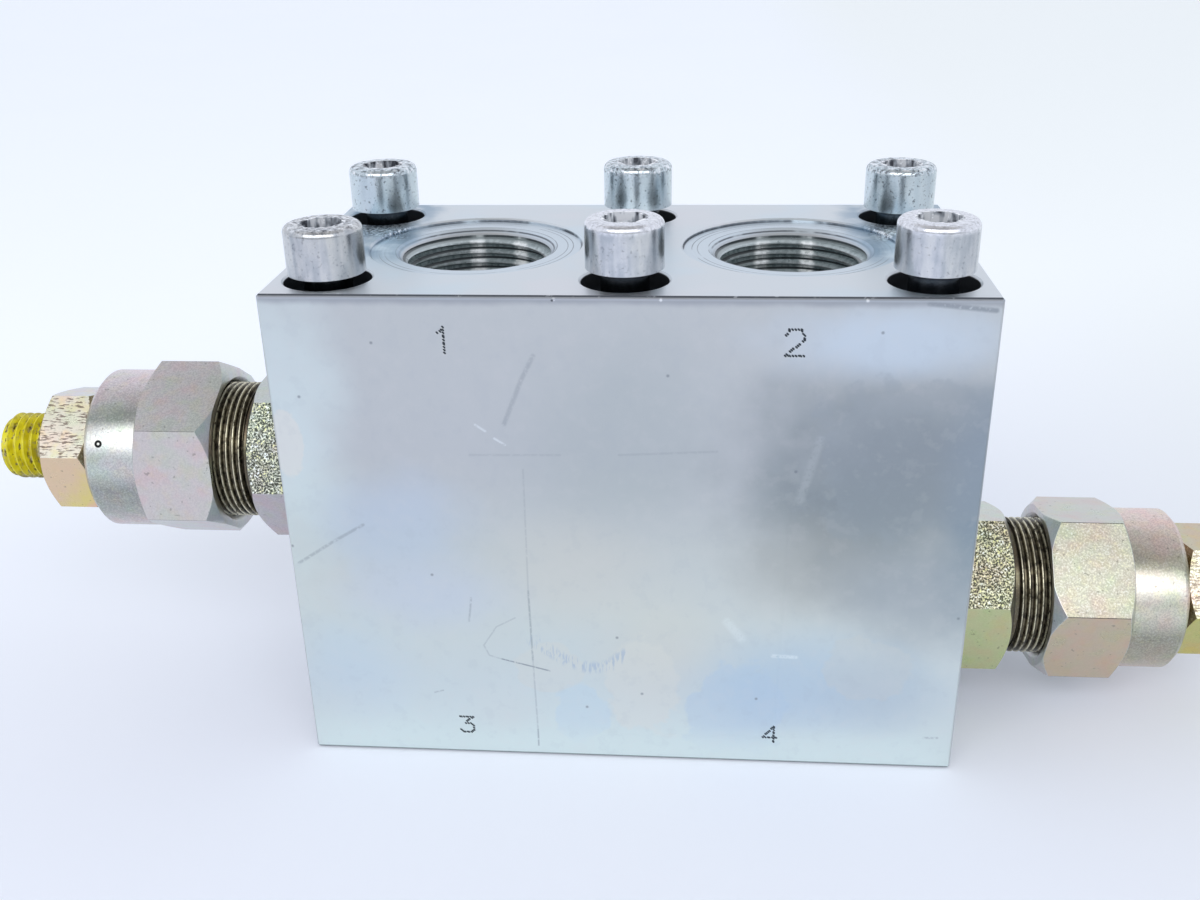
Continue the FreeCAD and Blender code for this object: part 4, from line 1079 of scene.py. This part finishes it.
def make_adjusting_screw(side):
    node = side + "_adjusting_screw"
    length = ADJUSTER_END - ADJUSTER_THREAD_START
    root = ADJUSTER_RADIUS - ADJUSTER_THREAD_DEPTH
    shape = helix_surface(length, ADJUSTER_PITCH, root, ADJUSTER_RADIUS, 64)
    face = ADJUSTER_RADIUS - THREAD_LEAD
    limit_radius(shape, lambda height: face + min(height, length - height))
    corner = SOCKET_FLATS / math.sqrt(3)
    mouth = extrude_ring(shape, end_loop(shape, length), corner + SOCKET_RIM)
    hexagon = bmesh.ops.create_circle(shape, segments=6, radius=mm(corner),
                                      matrix=Matrix.Translation(mm(0, 0, length)))
    socket = list({edge for vertex in hexagon["verts"] for edge in vertex.link_edges})
    bmesh.ops.bridge_loops(shape, edges=mouth + socket)
    floor = extrude_ring(shape, socket, None, (0, 0, -ADJUSTER_SOCKET_DEPTH))
    bmesh.ops.holes_fill(shape, edges=floor)
    tip_edge = extrude_ring(shape, end_loop(shape, 0), ADJUSTER_TIP_RADIUS)
    tip = extrude_ring(shape, tip_edge, None, (0, 0, ADJUSTER_START - ADJUSTER_THREAD_START))
    bmesh.ops.holes_fill(shape, edges=tip)
    bmesh.ops.recalc_face_normals(shape, faces=shape.faces)
    lay_on_axis(shape, side, ADJUSTER_THREAD_START)
    finish_piece(shape, node + "_dressed", node, side + "_adjuster_thread", "adjusting_steel", node,
                 smooth_angle=24)


def make_main_spring(side):
    """The main spring, joined and with its placement baked into its mesh; the ends of its live part are
    worked out but not used.
    """
    node = side + "_main_spring"
    piece = finish_piece(joined_copy(node), node + "_dressed", None, "spring_wire", "spring_wire", node,
                         smooth_angle=40)
    ends = [mm(station * OUTWARDS[side], 0, AXIS_HEIGHT[side]) for station in SPRING_LIVE]
    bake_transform(piece)


def dress_nodes():
    """A finish for every CAD node; those that no new piece replaces lie inside and show as they are."""
    for entry in frame["record"]["subparts"]:
        piece, slot = frame["nodes"][entry["node"]], entry["material_slot"]
        piece.data.materials.clear()
        piece.data.materials.append(FINISHES.get(slot, FINISHES["hardened_steel"]))


# Stage, light and camera

def seen_rays(f):
    """1 for rays from the camera and off gloss or through glass, which see the pale background."""
    outputs = f.node("ShaderNodeLightPath", output="Is Camera Ray").socket.node.outputs
    rays = [Value(f, outputs[name]) for name in ("Is Camera Ray", "Is Glossy Ray", "Is Transmission Ray")]
    return f.math("MAXIMUM", f.math("MAXIMUM", rays[0], rays[1]), rays[2])


def make_stage():
    f = Finish("pale_floor")
    x, y, _ = f.axes()
    blotch = f.noise(160, 2, 0.5)
    colour = f.mix((0.79, 0.82, 0.915), (0.82, 0.845, 0.92), blotch)
    # Painted shade: the floor greyer towards the right.
    colour = f.mix(colour, (0.78, 0.805, 0.835), f.rise(x, 60.0, 250.0))
    far = f.rise(y - x * 0.35, -60.0, 330.0)
    glow = f.mix((0.062, 0.065, 0.062), (0.22, 0.235, 0.22), far)
    glow = f.mix((0.0, 0.0, 0.0), glow, seen_rays(f))
    f.surface(colour, 0.6, Specular_IOR_Level=0.2, Emission_Color=glow, Emission_Strength=1.0)
    shape = bmesh.new()
    bmesh.ops.create_circle(shape, cap_ends=True, segments=96, radius=12.0)
    floor = add_object("studio_floor", mesh_of(shape, "studio_floor"))
    floor.data.materials.append(f.material)


def make_world():
    """Pale room: white backdrop behind, duller overhead and dull low down on the camera's side."""
    world = bpy.data.worlds.new("pale_room")
    world.use_nodes = True
    bpy.context.scene.world = world
    f = Finish("pale_room", world.node_tree)
    _, y, z = f.parts(f.node("ShaderNodeTexCoord", output="Generated"))
    overhead = f.rise(z, 0.70, 0.96)
    camera_side = f.rise(y, -0.15, -0.7) * f.rise(z, 0.34, 0.06)
    above_lamp = f.rise(y, -0.02, -0.25) * f.rise(z, 0.80, 0.88)
    colour = f.coats(
        (0.86, 0.90, 0.985),
        ((0.56, 0.56, 0.58), overhead),
        ((0.36, 0.37, 0.38), above_lamp),
        ((0.45, 0.48, 0.52), camera_side),
        ((0.84, 0.885, 0.985), f.node("ShaderNodeLightPath", output="Is Camera Ray")))
    background = f.node("ShaderNodeBackground", None, {"Color": colour, "Strength": 1.0})
    f.node("ShaderNodeOutputWorld", None, {"Surface": background})


def make_lamp(name, place, aim, size, power):
    light = bpy.data.lights.new(name, "AREA")
    light.shape = "RECTANGLE"
    light.size, light.size_y = size
    light.energy = power
    lamp = add_object(name, light)
    lamp.location = place
    lamp.rotation_euler = (Vector(aim) - Vector(place)).to_track_quat("-Z", "Y").to_euler()


def make_camera():
    data = bpy.data.cameras.new("camera")
    data.sensor_width = 36.0
    data.lens = CAMERA_LENS
    data.clip_start = 0.01
    camera = add_object("camera", data)
    forward = Vector(CAMERA_AIM).normalized()
    side = forward.cross(Vector((0, 0, 1))).normalized()
    up = side.cross(forward)
    roll = Matrix.Rotation(math.radians(CAMERA_ROLL), 3, forward)
    turn = Matrix((roll @ side, roll @ up, -forward)).transposed()
    camera.matrix_world = Matrix.Translation(CAMERA_PLACE) @ turn.to_4x4()
    bpy.context.scene.camera = camera


dress_nodes()
make_block()
for port_side in OUTWARDS:
    make_port_thread(port_side)
for screw_row in ROWS:
    for screw_column in COLUMNS:
        make_mounting_screw(screw_row, screw_column)
for valve_side in OUTWARDS:
    make_valve_body(valve_side)
    make_bonnet(valve_side)
    make_lock_washer(valve_side)
    make_lock_nut(valve_side)
    make_adjusting_screw(valve_side)
    make_main_spring(valve_side)
make_stage()
make_world()
make_lamp("front_softbox", place=(0.0, -0.75, 0.72), aim=(0, 0, 0.05), size=(1.5, 0.5), power=4.3)
make_camera()
bpy.context.scene.view_settings.view_transform = "Standard"
